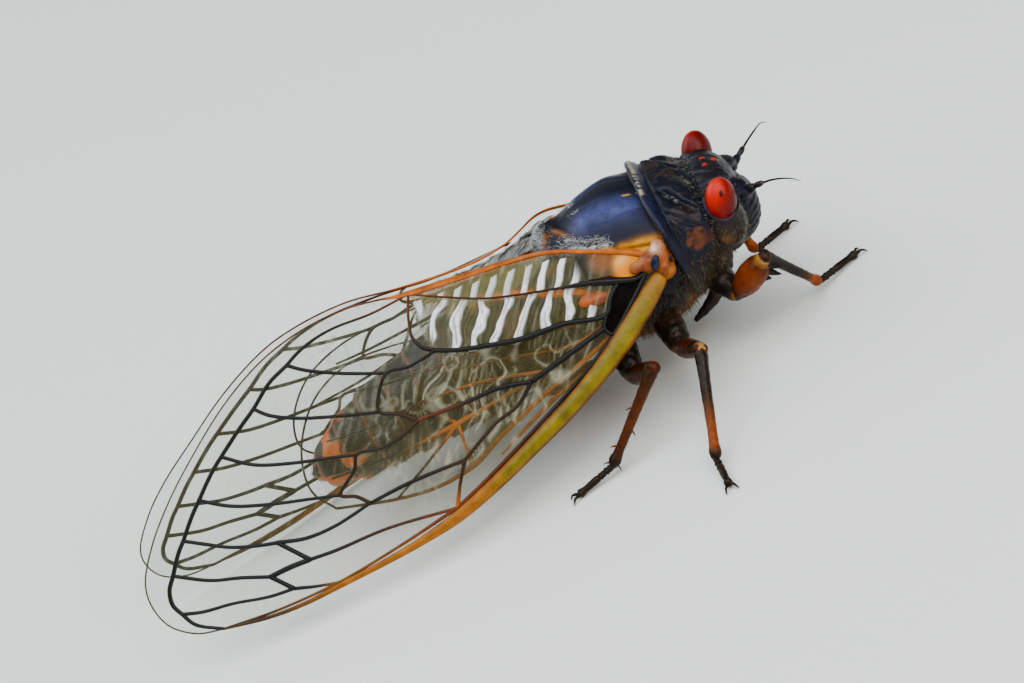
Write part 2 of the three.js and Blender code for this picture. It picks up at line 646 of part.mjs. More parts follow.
const towards = (from, to, by) => {
  const [a, b] = [new THREE.Vector3(...from), new THREE.Vector3(...to)];
  return a.addScaledVector(b.sub(a).normalize(), by).toArray();
};

// A tooth or spine with its root sunk in the limb
function spine(at, tip, thick) {
  return limb([at, towards(at, tip, 0.5), tip], [thick, thick * 0.8, 0.05], 5);
}

// The thigh of a leg from its root joint to the knee
function thigh(name, grow = 0) {
  const leg = LEGS[name];
  const size = THICK[name.split('_')[0]];
  const kneeEnd = towards(leg.knee, leg.turn, size.shin[0] * 0.4 - grow);
  const rootEnd = towards(leg.turn, leaned(leg.hip), 0.25);
  return bone(rootEnd, kneeEnd, ...size.thigh.map((v) => v + grow), size.swell, 8);
}

function femurSolid(name, body) {
  const kind = name.split('_')[0];
  const leg = LEGS[name];
  const size = THICK[kind];
  const hip = leaned(leg.hip);
  const pieces = [bone(hip, leg.turn, size.coxa, size.coxa * 0.72, 0.12, 8), thigh(name)];
  if (kind === 'front') {
    const down = new THREE.Vector3(0.5, Math.sign(leg.turn[1]) * 0.1, -0.85);
    [0.45, 0.66, 0.84].forEach((u, i) => {
      const at = leg.turn.map((v, k) => lerp(v, leg.knee[k], u));
      const reach = 1.55 - 0.12 * i;
      const tip = down.clone().multiplyScalar(reach).add(new THREE.Vector3(...at));
      const tooth = spine(at, tip.toArray(), 0.24);
      pieces.push(tooth.subtract(shin(name, GAP)));
    });
  }
  return whole(join(pieces).subtract(body));
}

// The shin of a leg from the knee to the ankle
function shin(name, grow = 0) {
  const leg = LEGS[name];
  const size = THICK[name.split('_')[0]];
  const end = towards(leg.ankle, leg.knee, -grow);
  return bone(towards(leg.knee, leg.ankle, GAP), end, ...size.shin.map((v) => v + grow), 0.02, 7);
}

function tibiaSolid(name) {
  const leg = LEGS[name];
  const pieces = [shin(name)];
  const count = name.startsWith('hind') ? 3 : 1;
  for (let i = 0; i < count; i++) {
    const at = leg.knee.map((v, k) => lerp(v, leg.ankle[k], 0.8 - 0.18 * i));
    const out = [at[0] - 0.5, at[1] + Math.sign(at[1]) * 0.3 * (i % 2 ? -1 : 1), at[2] - 0.38];
    pieces.push(spine(at, towards(at, out, 0.95), 0.17));
  }
  return whole(join(pieces).subtract(thigh(name, GAP + 0.03)));
}

function tarsusSolid(name) {
  const leg = LEGS[name];
  const toe = [...leg.toe, TOE.thick * 0.72];
  const start = towards([leg.ankle[0], leg.ankle[1], 0.42], toe, 0.1);
  const ahead = new THREE.Vector3(...toe).sub(new THREE.Vector3(...start)).normalize();
  const beside = new THREE.Vector3(-ahead.y, ahead.x, 0).normalize();
  const joints = [0, 0.1, 0.36, 0.46, 0.94, 1];
  const line = joints.map((u) => start.map((v, k) => lerp(v, toe[k], u)));
  const radii = [0.7, 1.15, 1.05, 0.85, 1, 0.6].map((v) => v * TOE.thick);
  const pieces = [limb(line, radii, 7)];
  for (const way of [1, -1]) {
    const from = new THREE.Vector3(...toe);
    const mid = from.clone().addScaledVector(ahead, TOE.claw * 0.55).addScaledVector(beside, way * 0.26);
    const tip = from.clone().addScaledVector(ahead, TOE.claw).addScaledVector(beside, way * 0.36);
    mid.z += 0.05;
    tip.z = 0.06;
    pieces.push(limb([from, mid, tip].map((p) => p.toArray()), [0.17, 0.13, 0.05], 4));
  }
  const floor = solid(new THREE.BoxGeometry(60, 60, 10).translate(0, 0, -5));
  return whole(join(pieces).subtract(floor).subtract(shin(name, GAP)));
}

// The scene: body pieces lean together, legs stand straight on the floor

const cicada = new THREE.Group();
cicada.name = 'periodical_cicada';
const body = new THREE.Group();
body.rotation.x = -LEAN;
const legs = new THREE.Group();
cicada.add(body, legs);

function place(group, name, made, material) {
  const mesh = made.getMesh();
  const g = new THREE.BufferGeometry()
    .setAttribute('position', new THREE.Float32BufferAttribute(mesh.vertProperties, 3))
    .setIndex(new THREE.Uint32BufferAttribute(mesh.triVerts, 1));
  g.computeVertexNormals();
  const part = new THREE.Mesh(g, material);
  part.name = name;
  group.add(part);
}

const SIDES = { left: 1, right: -1 };

const sockets = join(Object.values(SIDES).map((side) => eyeSolid(side, GAP * 0.7)));
place(body, 'head', whole(headSolid().subtract(sockets).subtract(prothorax(GAP))), BLACK_CUTICLE);
place(body, 'beak', beakSolid(), BROWN_BLACK);
place(body, 'prothorax', prothorax(), BLACK_CUTICLE);
place(body, 'mesothorax', mesothorax(), BLACK_CUTICLE);
place(body, 'abdomen', abdomen(), ABDOMEN_BLACK);
for (const [name, side] of Object.entries(SIDES)) {
  place(body, 'eye_' + name, whole(eyeSolid(side).subtract(prothorax(GAP))), RED_EYE);
  place(body, 'antenna_' + name, feelerSolid(side), BROWN_BLACK);
  place(body, 'operculum_' + name, operculum(side), ABDOMEN_BLACK);
  place(body, 'forewing_' + name, forewing(side), WING_AMBER);
  place(body, 'hindwing_' + name, hindwing(side), WING_CLEAR);
}

const trunkRoom = join([prothorax(GAP), mesothorax(GAP), headSolid(GAP)]);
const bodyClearance = trunkRoom.rotate([-THREE.MathUtils.radToDeg(LEAN), 0, 0]);
for (const name of Object.keys(LEGS)) {
  place(legs, 'femur_' + name, femurSolid(name, bodyClearance), BROWN_BLACK);
  place(legs, 'tibia_' + name, tibiaSolid(name), ORANGE_LEG);
  place(legs, 'tarsus_' + name, tarsusSolid(name), BROWN_BLACK);
}

// The origin is the middle of the whole outline, on the floor
const box = new THREE.Box3().setFromObject(cicada, true);
cicada.position.set(-(box.min.x + box.max.x) / 2, -(box.min.y + box.max.y) / 2, -box.min.z);

export default cicada;
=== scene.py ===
"""A life-size periodical cicada at rest, wings folded like a roof, built over its CAD frame."""
import math

import bpy
import numpy as np
from mathutils import Matrix, Vector


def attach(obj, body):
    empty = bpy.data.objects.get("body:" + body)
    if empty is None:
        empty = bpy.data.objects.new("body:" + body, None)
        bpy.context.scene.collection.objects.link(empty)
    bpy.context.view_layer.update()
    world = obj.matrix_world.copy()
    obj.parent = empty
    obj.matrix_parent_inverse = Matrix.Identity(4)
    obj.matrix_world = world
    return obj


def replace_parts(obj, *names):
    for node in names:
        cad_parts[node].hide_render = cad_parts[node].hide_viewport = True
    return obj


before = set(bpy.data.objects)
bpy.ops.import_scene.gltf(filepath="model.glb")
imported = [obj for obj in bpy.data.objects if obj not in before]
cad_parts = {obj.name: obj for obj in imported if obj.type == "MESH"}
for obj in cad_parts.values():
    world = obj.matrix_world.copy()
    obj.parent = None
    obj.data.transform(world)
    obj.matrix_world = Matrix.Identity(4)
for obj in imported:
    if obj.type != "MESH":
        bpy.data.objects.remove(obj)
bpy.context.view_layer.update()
bpy.ops.object.select_all(action="DESELECT")

# Thorax, front ring
# The pronotum is the first plate of the thorax: hard black chitin, smooth and raised along its rear
# collar, furrowed and swollen in front. It was grown in one shell with the sides of the ring below.
LEAN = math.radians(6)
ORIGIN = np.array([6.8735, 0.1707, 0.0])


def placed(p):
    """Body coordinates in mm, X forward and Y left, to frame coordinates in metres."""
    p = np.asarray(p, float)
    x, y, z = p[..., 0], p[..., 1], p[..., 2]
    turned = [x, y * math.cos(LEAN) + z * math.sin(LEAN), z * math.cos(LEAN) - y * math.sin(LEAN)]
    return (np.stack(turned, -1) + ORIGIN) / 1000


def unit(v):
    """Vectors brought to length 1."""
    return v / np.linalg.norm(v, axis=-1, keepdims=True)


def around(count):
    """Angles spread evenly round a circle."""
    return np.arange(count) / count * 2 * math.pi


def ease(x, a, b):
    """0 before a, 1 after b, smooth between."""
    x = np.clip((np.asarray(x, float) - a) / (b - a), 0, 1)
    return x * x * (3 - 2 * x)


def bump(x, centre, half):
    """A smooth hill of height 1 around a centre."""
    return np.exp(-(((np.asarray(x, float) - centre) / half) ** 2) * 1.6)


def along(keys, x):
    """The value at x of a smooth curve through (place, value) keys."""
    places, values = np.array(keys, float).T
    x = np.clip(np.asarray(x, float), places[0], places[-1])
    b = np.clip(np.searchsorted(places, x), 1, len(places) - 1)
    a, before, after = b - 1, np.maximum(b - 2, 0), np.minimum(b + 1, len(places) - 1)
    span = places[b] - places[a]
    u = (x - places[a]) / span
    m0 = (values[b] - values[before]) / (places[b] - places[before]) * span
    m1 = (values[after] - values[a]) / (places[after] - places[a]) * span
    return (values[a] * (2 * u**3 - 3 * u**2 + 1) + m0 * (u**3 - 2 * u**2 + u)
            + values[b] * (3 * u**2 - 2 * u**3) + m1 * (u**3 - u**2))


def noise(p, size, seed):
    """Smooth value noise from 0 to 1 over points, with lumps of the given size."""
    table = np.random.default_rng(seed).random(4096)
    q = np.asarray(p, float) / size + 211.37
    cell = np.floor(q).astype(int)
    f = q - cell
    f = f * f * (3 - 2 * f)
    total = 0
    for dx in (0, 1):
        for dy in (0, 1):
            for dz in (0, 1):
                at = (cell[..., 0] + dx) * 73 + (cell[..., 1] + dy) * 1279 + (cell[..., 2] + dz) * 2833
                share = (np.where(dx, f[..., 0], 1 - f[..., 0]) * np.where(dy, f[..., 1], 1 - f[..., 1])
                         * np.where(dz, f[..., 2], 1 - f[..., 2]))
                total = total + share * table[at % 4096]
    return total


def linear(code):
    """An sRGB hex colour as linear red, green and blue."""
    c = np.array([int(code[i:i + 2], 16) for i in (1, 3, 5)]) / 255
    return np.where(c <= 0.04045, c / 12.92, ((c + 0.055) / 1.055) ** 2.4)


def paint(tint, code, mask, gloss=None):
    """Lays a colour, and a roughness where given, over a tint array by a mask."""
    mask = np.clip(np.asarray(mask, float), 0, 1)[..., None]
    new = np.array([*linear(code), 0.0 if gloss is None else gloss])
    if gloss is None:
        new = np.concatenate([np.broadcast_to(new[:3], tint[..., :3].shape), tint[..., 3:]], -1)
    tint[...] = tint * (1 - mask) + new * mask


def painted(shape, code, gloss):
    """A tint array of one colour and roughness."""
    return np.broadcast_to(np.array([*linear(code), gloss]), (*shape, 4)).copy()


def lay(mesh, tint):
    """Keeps a tint array with the corners of a mesh."""
    layer = mesh.color_attributes.new("tint", "FLOAT_COLOR", "POINT")
    layer.data.foreach_set("color", np.asarray(tint, np.float32).ravel())


def mesh_piece(name, points, faces, tint, material):
    """One mesh object from points in metres and faces, with its painted tint."""
    mesh = bpy.data.meshes.new(name)
    mesh.from_pydata([tuple(p) for p in points], [], faces)
    mesh.update()
    lay(mesh, tint)
    mesh.materials.append(material)
    mesh.shade_smooth()
    piece = bpy.data.objects.new(name, mesh)
    bpy.context.collection.objects.link(piece)
    return piece


def tube_faces(rings, sides, start):
    """The faces of rings of points joined into a tube, its ends closed by fans to two pole points."""
    faces = []
    for i in range(rings - 1):
        for k in range(sides):
            a, b = start + i * sides + k, start + i * sides + (k + 1) % sides
            faces.append((a, b, b + sides, a + sides))
    first, last = start + rings * sides, start + rings * sides + 1
    low = start + (rings - 1) * sides
    for k in range(sides):
        faces.append((first, start + (k + 1) % sides, start + k))
        faces.append((last, low + k, low + (k + 1) % sides))
    return faces


def with_poles(grid):
    """A grid of rings as a list of points, with the middle of the first and last ring added."""
    flat = grid.reshape(-1, grid.shape[-1])
    return np.concatenate([flat, grid[0].mean(0)[None], grid[-1].mean(0)[None]])


def tubes(name, parts, material):
    """Closed tubes, each given by its rings of points in metres and their tint, as one mesh object."""
    points, faces, tints, start = [], [], [], 0
    for grid, tint in parts:
        points.append(with_poles(grid))
        tints.append(with_poles(tint))
        faces += tube_faces(*grid.shape[:2], start)
        start += len(points[-1])
    return mesh_piece(name, np.concatenate(points), faces, np.concatenate(tints), material)


def feed(tree, inputs, node=None):
    """Sets or links inputs of a node, which is the main shader if none is given."""
    node = node or tree.nodes["Principled BSDF"]
    for name, value in inputs.items():
        if isinstance(value, bpy.types.NodeSocket):
            tree.links.new(value, node.inputs[name])
        else:
            node.inputs[name].default_value = value


def add(tree, kind, inputs=(), **settings):
    """Adds one node, its inputs set or linked."""
    made = tree.nodes.new("ShaderNode" + kind)
    for name, value in settings.items():
        setattr(made, name, value)
    feed(tree, dict(inputs), made)
    return made


# A pattern is scaled by its lumps to the metre, so its lumps to the millimetre are multiplied by this
PER_MM = 1000

# Chitin: hard plates with a low gloss, their colour and roughness painted on as a tint. The real grain
# is some hundredths of a millimetre wide, and is drawn at a ninth of a millimetre so that it shows.
chitin = bpy.data.materials.new("chitin")
chitin.use_nodes = True
tree = chitin.node_tree
place = add(tree, "TexCoord").outputs["Object"]
tint = add(tree, "Attribute", attribute_name="tint")
grain = add(tree, "TexNoise", {"Vector": place, "Scale": 9 * PER_MM, "Detail": 3.0, "Roughness": 0.6})
patches = add(tree, "TexNoise", {"Vector": place, "Scale": 1.3 * PER_MM, "Detail": 4.0, "Roughness": 0.6})
shade = add(tree, "MapRange", {"Value": patches.outputs["Fac"], "From Min": 0.3, "From Max": 0.7,
                               "To Min": 0.62, "To Max": 1.35})
deep = add(tree, "VectorMath", {0: tint.outputs["Color"], "Scale": shade.outputs["Result"]},
           operation="SCALE")
rough = add(tree, "MapRange", {"Value": grain.outputs["Fac"], "From Min": 0.3, "From Max": 0.7,
                               "To Min": -0.05, "To Max": 0.09})
total = add(tree, "Math", {0: tint.outputs["Alpha"], 1: rough.outputs["Result"]}, operation="ADD",
            use_clamp=True)
relief = add(tree, "Bump", {"Height": grain.outputs["Fac"], "Strength": 0.55, "Distance": 0.00003})
feed(tree, {"Base Color": deep.outputs["Vector"], "Roughness": total.outputs["Value"],
            "Normal": relief.outputs["Normal"], "Coat Weight": 0.05, "Coat Roughness": 0.2,
            "Specular IOR Level": 0.2, "Specular Tint": (0.62, 0.66, 1.0, 1.0)})

PRONOTUM = {
    "width": [(5.0, 4.7), (5.4, 4.85), (5.9, 4.75), (6.6, 4.5), (7.6, 4.25), (8.6, 3.7)],
    "level": [(5.4, 7.6), (8.6, 7.5)],
    "rise": [(5.0, 2.85), (5.4, 3.0), (6.5, 2.75), (7.8, 2.2), (8.6, 1.45)],
    "drop": [(5.4, 4.6), (6.6, 4.2), (8.6, 3.0)],
    "square": 2.25,
}


def trunk(shape, x, turn, out, scale):
    """Points of a trunk skin at x, at a turn around it in radians from the left side, up first."""
    c, s = np.cos(turn), np.sin(turn)
    power = 2 / shape["square"]
    wide = (along(shape["width"], x) * scale + out) * np.sign(c) * np.abs(c) ** power
    tall = np.where(s > 0, along(shape["rise"], x), along(shape["drop"], x)) * scale + out
    high = along(shape["level"], x) + tall * np.sign(s) * np.abs(s) ** power
    return np.stack([np.broadcast_to(x, wide.shape), wide, high], -1)


def stations(back, front, step, rear_round, front_round):
    """Places along a trunk with the scale of its ring at each, its two ends rounded off."""
    turn = np.linspace(0.05, math.pi / 2, 12)
    rear = np.stack([back - rear_round * np.cos(turn), np.sin(turn)], -1)
    inner = np.arange(back + step, front, step)
    ahead = np.stack([front + front_round * np.cos(turn[::-1]), np.sin(turn[::-1])], -1)
    return np.concatenate([rear, np.stack([inner, np.ones_like(inner)], -1), ahead])


def stroke(x, lift, line, half):
    """How near points of a trunk are to a line drawn on it, in (x, degrees up from the side)."""
    at = np.stack([x, np.radians(lift) * 4.2], -1)
    line = np.array([(a, math.radians(b) * 4.2) for a, b in line])
    near = np.full(at.shape[:-1], 9.0)
    for a, b in zip(line[:-1], line[1:]):
        run = b - a
        u = np.clip(((at - a) @ run) / (run @ run), 0, 1)
        near = np.minimum(near, np.linalg.norm(at - a - u[..., None] * run, axis=-1))
    return np.exp(-((near / half) ** 2))


def dot(x, lift):
    """A line so short that its stroke is a round spot."""
    return [(x, lift), (x + 0.001, lift)]


def trunk_net(shape, ends, sides):
    """A net over a trunk: place, turn, ring scale, degrees up from the side, and the plain surface."""
    x = np.repeat(ends[:, :1], sides, 1)
    turn = np.broadcast_to(around(sides), x.shape)
    scale = np.repeat(ends[:, 1:], sides, 1)
    lift = np.degrees(np.arctan2(np.sin(turn), np.abs(np.cos(turn))))
    return x, turn, scale, lift, trunk(shape, x, turn, 0.0, scale)


def trunk_piece(name, shape, x, turn, scale, out, skin):
    """A closed trunk skin, its relief fading out at the two rounded ends."""
    return tubes(name, [(placed(trunk(shape, x, turn, out * scale**2, scale)), skin)], chitin)


ROUND = 330
x, turn, scale, lift, raw = trunk_net(PRONOTUM, stations(5.45, 8.35, 0.075, 0.12, 0.55), ROUND)
out = 0.2 * bump(x, 5.62, 0.32) * ease(lift, -35, 0)
out -= 0.16 * bump(x, 6.12, 0.16) * ease(lift, -30, 5)
# Furrows and folds of the front: height in mm, line in (x, degrees up), and half width
for by, line, half in (
    (-0.3, [(6.6, 58), (6.95, 46), (7.6, 24)], 0.24), (-0.2, [(7.8, 77), (8.27, 49)], 0.2),
    (-0.12, [(6.4, 30), (6.9, 14), (7.5, 2)], 0.18), (0.12, [(6.6, 72), (7.5, 86)], 0.16),
    (-0.1, [(6.3, 90), (8.3, 90)], 0.14), (0.22, dot(6.7, 30), 0.75), (0.16, dot(7.3, 62), 0.5),
    (0.1, dot(7.9, 30), 0.45),
):
    out += by * stroke(x, lift, line, half)
rugged = ease(x, 6.0, 6.35)
out += (noise(raw, 0.5, 3) - 0.5) * 0.1 * rugged + (noise(raw, 0.17, 4) - 0.5) * 0.045 * rugged
out += (noise(raw * [2.4, 1, 1], 0.3, 5) - 0.5) * 0.05 * rugged
skin = painted(x.shape, "#0b0c14", 0.42)
paint(skin, "#07080c", rugged * 0.8, 0.44)
# The upper side of the collar is painted dark blue: a painted sheen.
paint(skin, "#11142a", bump(x, 5.7, 0.4) * ease(lift, 5, 40), 0.36)
paint(skin, "#33261a", (noise(raw, 0.7, 8) > 0.62) * 0.35 * rugged)
paint(skin, "#4a3416", stroke(x, lift, [(5.42, 12), (5.42, 90)], 0.05) * 0.7, 0.45)
worn = noise(raw, 0.2, 9) > 0.42
paint(skin, "#a89c7c", stroke(x, lift, [(5.62, 60), (5.75, 90)], 0.09) * worn * 0.75)
for line, half, lumps, seed, most in (([(6.7, 54), (7.5, 27)], 0.12, 0.13, 10, 0.7),
                                      ([(7.85, 75), (8.2, 52)], 0.1, 0.12, 11, 0.6)):
    paint(skin, "#6e6a5c", stroke(x, lift, line, half) * (noise(raw, lumps, seed) > 0.6) * most, 0.6)
paint(skin, "#1c140a", ease(-lift, 8, 30) * 0.85, 0.5)
paint(skin, "#4a3410", ease(-lift, 30, 70) * noise(raw, 0.6, 12), 0.5)
blotch = ease(noise(raw, 0.22, 13), 0.25, 0.6)
patch = stroke(x, lift, dot(6.95, -3), 0.62)
paint(skin, "#522804", ease(patch * (0.55 + 0.6 * blotch), 0.3, 0.55), 0.42)
paint(skin, "#2c0e02", ease(patch, 0.3, 0.7) * (1 - blotch) * 0.7)
paint(skin, "#3a1802", ease(stroke(x, lift, dot(7.6, -8), 0.5), 0.4, 0.7) * 0.8, 0.45)
pronotum = trunk_piece("pronotum", PRONOTUM, x, turn, scale, out, skin)
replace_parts(pronotum, "prothorax")
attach(pronotum, "root")

# Thorax, wing ring
# The mesonotum carries the wings: one glossy blue-black chitin shield, domed, with a raised cross at
# its rear end and a sunken field around the arms of the cross.
MESONOTUM = {
    "width": [(-1, 3.4), (0, 3.55), (1.5, 3.95), (3.4, 4.2), (5.1, 4.3), (6.2, 4.2)],
    "level": [(-1, 7.5), (5.1, 7.7), (6.2, 7.7)],
    "rise": [(-1, 2.35), (-0.4, 2.75), (0.9, 2.75), (2.2, 3.1), (4, 3.15), (5.1, 2.75), (6.2, 2.3)],
    "drop": [(-1, 4.5), (1, 5.0), (3.5, 5.3), (5.1, 4.9), (6.2, 4.3)],
    "square": 2.15,
}
x, turn, scale, lift, raw = trunk_net(MESONOTUM, stations(-0.9, 5.7, 0.08, 0.45, 0.4), ROUND)
side = np.abs(np.cos(turn))
top = ease(np.sin(turn), 0.1, 0.35)
arms = bump(side, 0.06 + 0.42 * np.abs(x - 0.2), 0.13) * bump(x, 0.2, 0.95)
moat = bump(x, 0.2, 0.75) * ease(side, 0.2, 0.5)
out = (0.3 * arms - 0.28 * moat) * top
out += 0.1 * bump(side, 0.0, 0.1) * bump(x, 0.3, 0.5) * top
out -= 0.05 * stroke(x, lift, [(5.0, 80), (3.4, 76), (1.9, 83)], 0.12)
out -= 0.06 * stroke(x, lift, [(4.9, 52), (3.4, 50), (2.3, 58)], 0.16)
out -= 0.22 * stroke(x, lift, [(4.9, 6), (3.2, 16), (1.6, 24)], 0.22)
out += (noise(raw, 1.1, 21) - 0.5) * 0.05 + (noise(raw, 0.22, 22) - 0.5) * 0.012
out += (noise(raw, 0.45, 23) - 0.5) * 0.22 * ease(-lift, -4, 16)
skin = painted(x.shape, "#07080e", 0.5)
# A broad blue-violet band painted on the upper dome, broken by fine noise: a painted sheen.
sheen = stroke(x, lift, [(4.4, 56), (2.2, 66)], 0.95) * (0.55 + 0.45 * noise(raw, 0.09, 26))
paint(skin, "#3a3f6c", sheen, 0.46)
paint(skin, "#07080c", moat * top * 0.8, 0.4)
paint(skin, "#8a5412", arms * top * ease(side, 0.12, 0.24) * 0.75, 0.32)
paint(skin, "#a88024", stroke(x, lift, [(4.7, 69), (4.98, 69)], 0.07) * 0.9, 0.4)
paint(skin, "#c88408", stroke(x, lift, [(5.0, 8), (4.2, 11)], 0.5) * 1.7, 0.42)
paint(skin, "#c88408", stroke(x, lift, [(4.2, 12), (3.3, 17)], 0.36) * 1.6, 0.42)
paint(skin, "#b87808", stroke(x, lift, [(3.3, 16), (2.3, 27)], 0.15) * 1.4, 0.42)
# A darker orange band just below the wedge: painted shade.
paint(skin, "#7a3c0c", stroke(x, lift, [(5.1, 2), (3.3, 8)], 0.14) * 0.7)
DUSTED = [(0.9, 50), (1.6, 38), (2.8, 28)]
paint(skin, "#a4a298", stroke(x, lift, DUSTED, 0.16) * (noise(raw, 0.1, 24) > 0.4) * 0.9, 0.6)
low = ease(-lift, 2, 22)
paint(skin, "#120e0a", low * 0.9, 0.5)
paint(skin, "#4a3210", low * ease(noise(raw, 0.9, 25), 0.5, 0.7) * 0.7, 0.5)
paint(skin, "#9a5a1f", low * ease(-lift, 40, 80) * 0.7, 0.45)
mesonotum = trunk_piece("mesonotum", MESONOTUM, x, turn, scale, out, skin)
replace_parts(mesonotum, "mesothorax")
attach(mesonotum, "root")

# Abdomen
# The abdomen is eight black chitin rings that slide in one another like a telescope, each with a thin
# orange rear edge, closed by a small pointed tail piece. Soft skin joins the rings inside.
ABDOMEN = {
    "width": [(-17.8, 0.35), (-17, 1.2), (-15.6, 1.8), (-13, 2.45), (-9, 2.95), (-5, 3.2), (-1.2, 2.95),
              (0.4, 2.6)],
    "level": [(-17.8, 5.0), (-12, 5.5), (-1.2, 6.4), (0.4, 6.5)],
    "rise": [(-17.8, 0.3), (-17, 1.0), (-15.6, 1.7), (-13, 2.3), (-9, 2.8), (-5, 3.05), (-1.2, 2.9),
             (0.4, 2.4)],
    "drop": [(-17.8, 0.35), (-17, 1.2), (-15.6, 1.75), (-13, 2.2), (-9, 2.8), (-5, 3.3), (-1.2, 3.4),
             (0.4, 3.2)],
    "square": 2,
}
RING = 1.794
x, turn, scale, _, raw = trunk_net(ABDOMEN, stations(-17.6, 0.1, 0.1, 0.25, 0.3), 200)
within = ((-1.25 - x) / RING + 0.015 * np.cos(turn * 3)) % 1.0
inside = ease(-x, 0.9, 1.3)
out = (0.15 * ease(within, 0.05, 0.9) - 0.12 * (1 - ease(within, 0.0, 0.06)) - 0.02) * inside
out -= 0.1 * (1 - ease(1 - within, 0.0, 0.05)) * inside
out += (noise(raw, 0.3, 31) - 0.5) * 0.03
below = ease(-np.sin(turn), 0.3, 0.7)
skin = painted(x.shape, "#0c0b0c", 0.4)
# Grey-blue patches at random over the rings: painted highlights.
paint(skin, "#2c3038", ease(noise(raw, 0.9, 32), 0.5, 0.75) * 0.7, 0.5)
edge = ease(within, 0.86, 0.93) * inside
paint(skin, "#8a3c04", edge * (0.55 + 0.45 * below), 0.36)
paint(skin, "#7a3808", below * inside * 0.5 * (noise(raw, 0.8, 33) > 0.35), 0.4)
paint(skin, "#050505", (1 - ease(within, 0.0, 0.05)) * inside * 0.9, 0.5)
paint(skin, "#c05a0a", ease(noise(raw, 0.8, 34), 0.45, 0.6) * (1 - ease(x, -15.4, -14.2)) * 0.9, 0.4)
abdomen = trunk_piece("abdomen_rings", ABDOMEN, x, turn, scale, out, skin)
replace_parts(abdomen, "abdomen")
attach(abdomen, "root")

# Forewings
# A forewing is a clear film of chitin some hundredths of a millimetre thick, stretched over hollow
# veins that grew with it. Its front edge is a stout orange bar; near the hinge the film is black.
WING_LENGTH = 33.4
WING_BASE = (5.0, 4.6, 7.0)
WING_TIP = (-28.3, 2.6, 4.95)
SEEN_FROM = math.radians(22)
STEEP = math.radians(68)
AXIS_BOW = [(0, 0), (5, 1.05), (10, 1.55), (18, 1.15), (26, 0.5), (33.4, 0)]
INNER_EDGE = [(0.8, 1.2), (3.2, 2.8), (5.3, 4.1), (7.5, 4.9), (9.7, 5.5), (12.9, 6.4), (16.4, 7.5),
              (20.2, 7.8), (22, 7.5), (24.9, 6.4), (27.6, 4.9), (30, 3.4), (32.1, 1.6), (33.6, 0.2)]
RIDGE = [(0.8, 4.6), (2.2, 4.1), (3.2, 3.75), (4.4, 3.3), (5.3, 2.75), (6.3, 1.9), (7.5, 1.1),
         (9.5, 0.6), (14, 0.48), (22, 0.6), (28, 1.2), (33.6, 2.6)]
SLICES = 8


def wing_lay(s, t, bend):
    """A wing's surface in the body frame, s along the wing from its hinge and t across it."""
    u = s / WING_LENGTH
    bow = along(AXIS_BOW, s)
    x, y, z = (a + (b - a) * u for a, b in zip(WING_BASE, WING_TIP))
    y = y + bow
    z = z + bow * math.tan(SEEN_FROM) - 0.35 * np.sin(math.pi * np.clip(u, 0, 1))
    edge = np.maximum(along(INNER_EDGE, s), 0.5)
    for i in range(SLICES):
        slope = STEEP - np.where(t > 0, bend * ease((i + 0.5) / SLICES * t / edge, 0, 1), 0)
        seen = math.sin(SEEN_FROM) * np.cos(slope) + math.cos(SEEN_FROM) * np.sin(slope)
        y = y - np.cos(slope) / seen * t / SLICES
        z = z + np.sin(slope) / seen * t / SLICES
    return x, y, z, slope


# How much each slice of the wing curls over, so that its inner edge meets the line of the ridge
BEND_S = np.linspace(0.8, 33.6, 165)
low, high = np.zeros_like(BEND_S), np.full_like(BEND_S, 1.45)
for _ in range(18):
    middle = (low + high) / 2
    over = wing_lay(BEND_S, along(INNER_EDGE, BEND_S), middle)[1] > along(RIDGE, BEND_S)
    low, high = np.where(over, middle, low), np.where(over, high, middle)
BENDS = (low + high) / 2


def wing_point(s, t, out, side):
    """A point of a wing, out of its surface by a height, on side -1 for right or 1 for left."""
    s, t, out = np.broadcast_arrays(np.asarray(s, float), np.asarray(t, float), np.asarray(out, float))
    x, y, z, slope = wing_lay(s, t, np.interp(s, BEND_S, BENDS))
    return placed(np.stack([x, side * (y + np.sin(slope) * out), z + np.cos(slope) * out], -1))


# Where veins meet, as places along and across the wing
JUNCTIONS = {
    "front": (0.0, -0.5), "root": (0.9, 0.45), "rear": (0.9, 1.3), "arcLow": (4.2, -0.45),
    "arcHigh": (2.7, 0.7), "armLow": (4.7, -1.0), "armCosta": (4.5, -1.6), "fork": (9.5, -1.2),
    "cross": (14.8, -2.75), "node": (16.5, -4.7), "nodeEnd": (24.3, -4.75), "apex": (31.1, -3.75),
    "clavusEnd": (13.1, 6.4), "corner": (13.2, 3.05), "a": (16.1, 3.45), "c": (17.5, 1.9),
    "d": (15.9, 0.4), "e": (19.8, 0.6), "f": (21.7, -0.8), "g": (20.5, -2.0), "h": (26.1, -1.2),
    "i": (25.0, -2.9), "j": (27.4, -2.6), "k": (26.6, -3.8), "end1": (20.7, 6.7), "end2": (23.5, 5.65),
    "end3": (26.4, 4.35), "end4": (28.7, 2.95), "end5": (30.6, 1.5), "end6": (32.1, 0.15),
    "end7": (32.75, -1.9),
}
COSTA = ["front", (1.5, -0.9), (3.4, -1.8), (7.1, -3.2), (11, -4.2), (14.2, -4.9), (16.7, -5.25),
         (18.8, -5.3), (21, -5.25), (24.3, -5.0), (28.6, -4.5), "apex"]
OUTER = ["apex", (32.6, -3.2), (33.7, -2.1), (34.0, -0.7), (33.7, 0.5), (32.3, 2.1), (30.1, 3.8),
         (27.7, 5.25), (24.9, 6.65), (22.2, 7.55), (20.2, 7.85), (18.3, 7.85), (16.3, 7.55), (14.6, 7.0),
         "clavusEnd"]
INNER = ["clavusEnd", (9.7, 5.5), (7.5, 4.9), (5.3, 4.1), (3.2, 2.8), "rear", "root"]
BLACK, DARK, UMBER, OLIVE, SLATE = "#040303", "#100a04", "#2c1806", "#12120a", "#0a0c0e"
ORANGE, OCHRE, RUST = "#a04c02", "#6a3e06", "#5a2604"
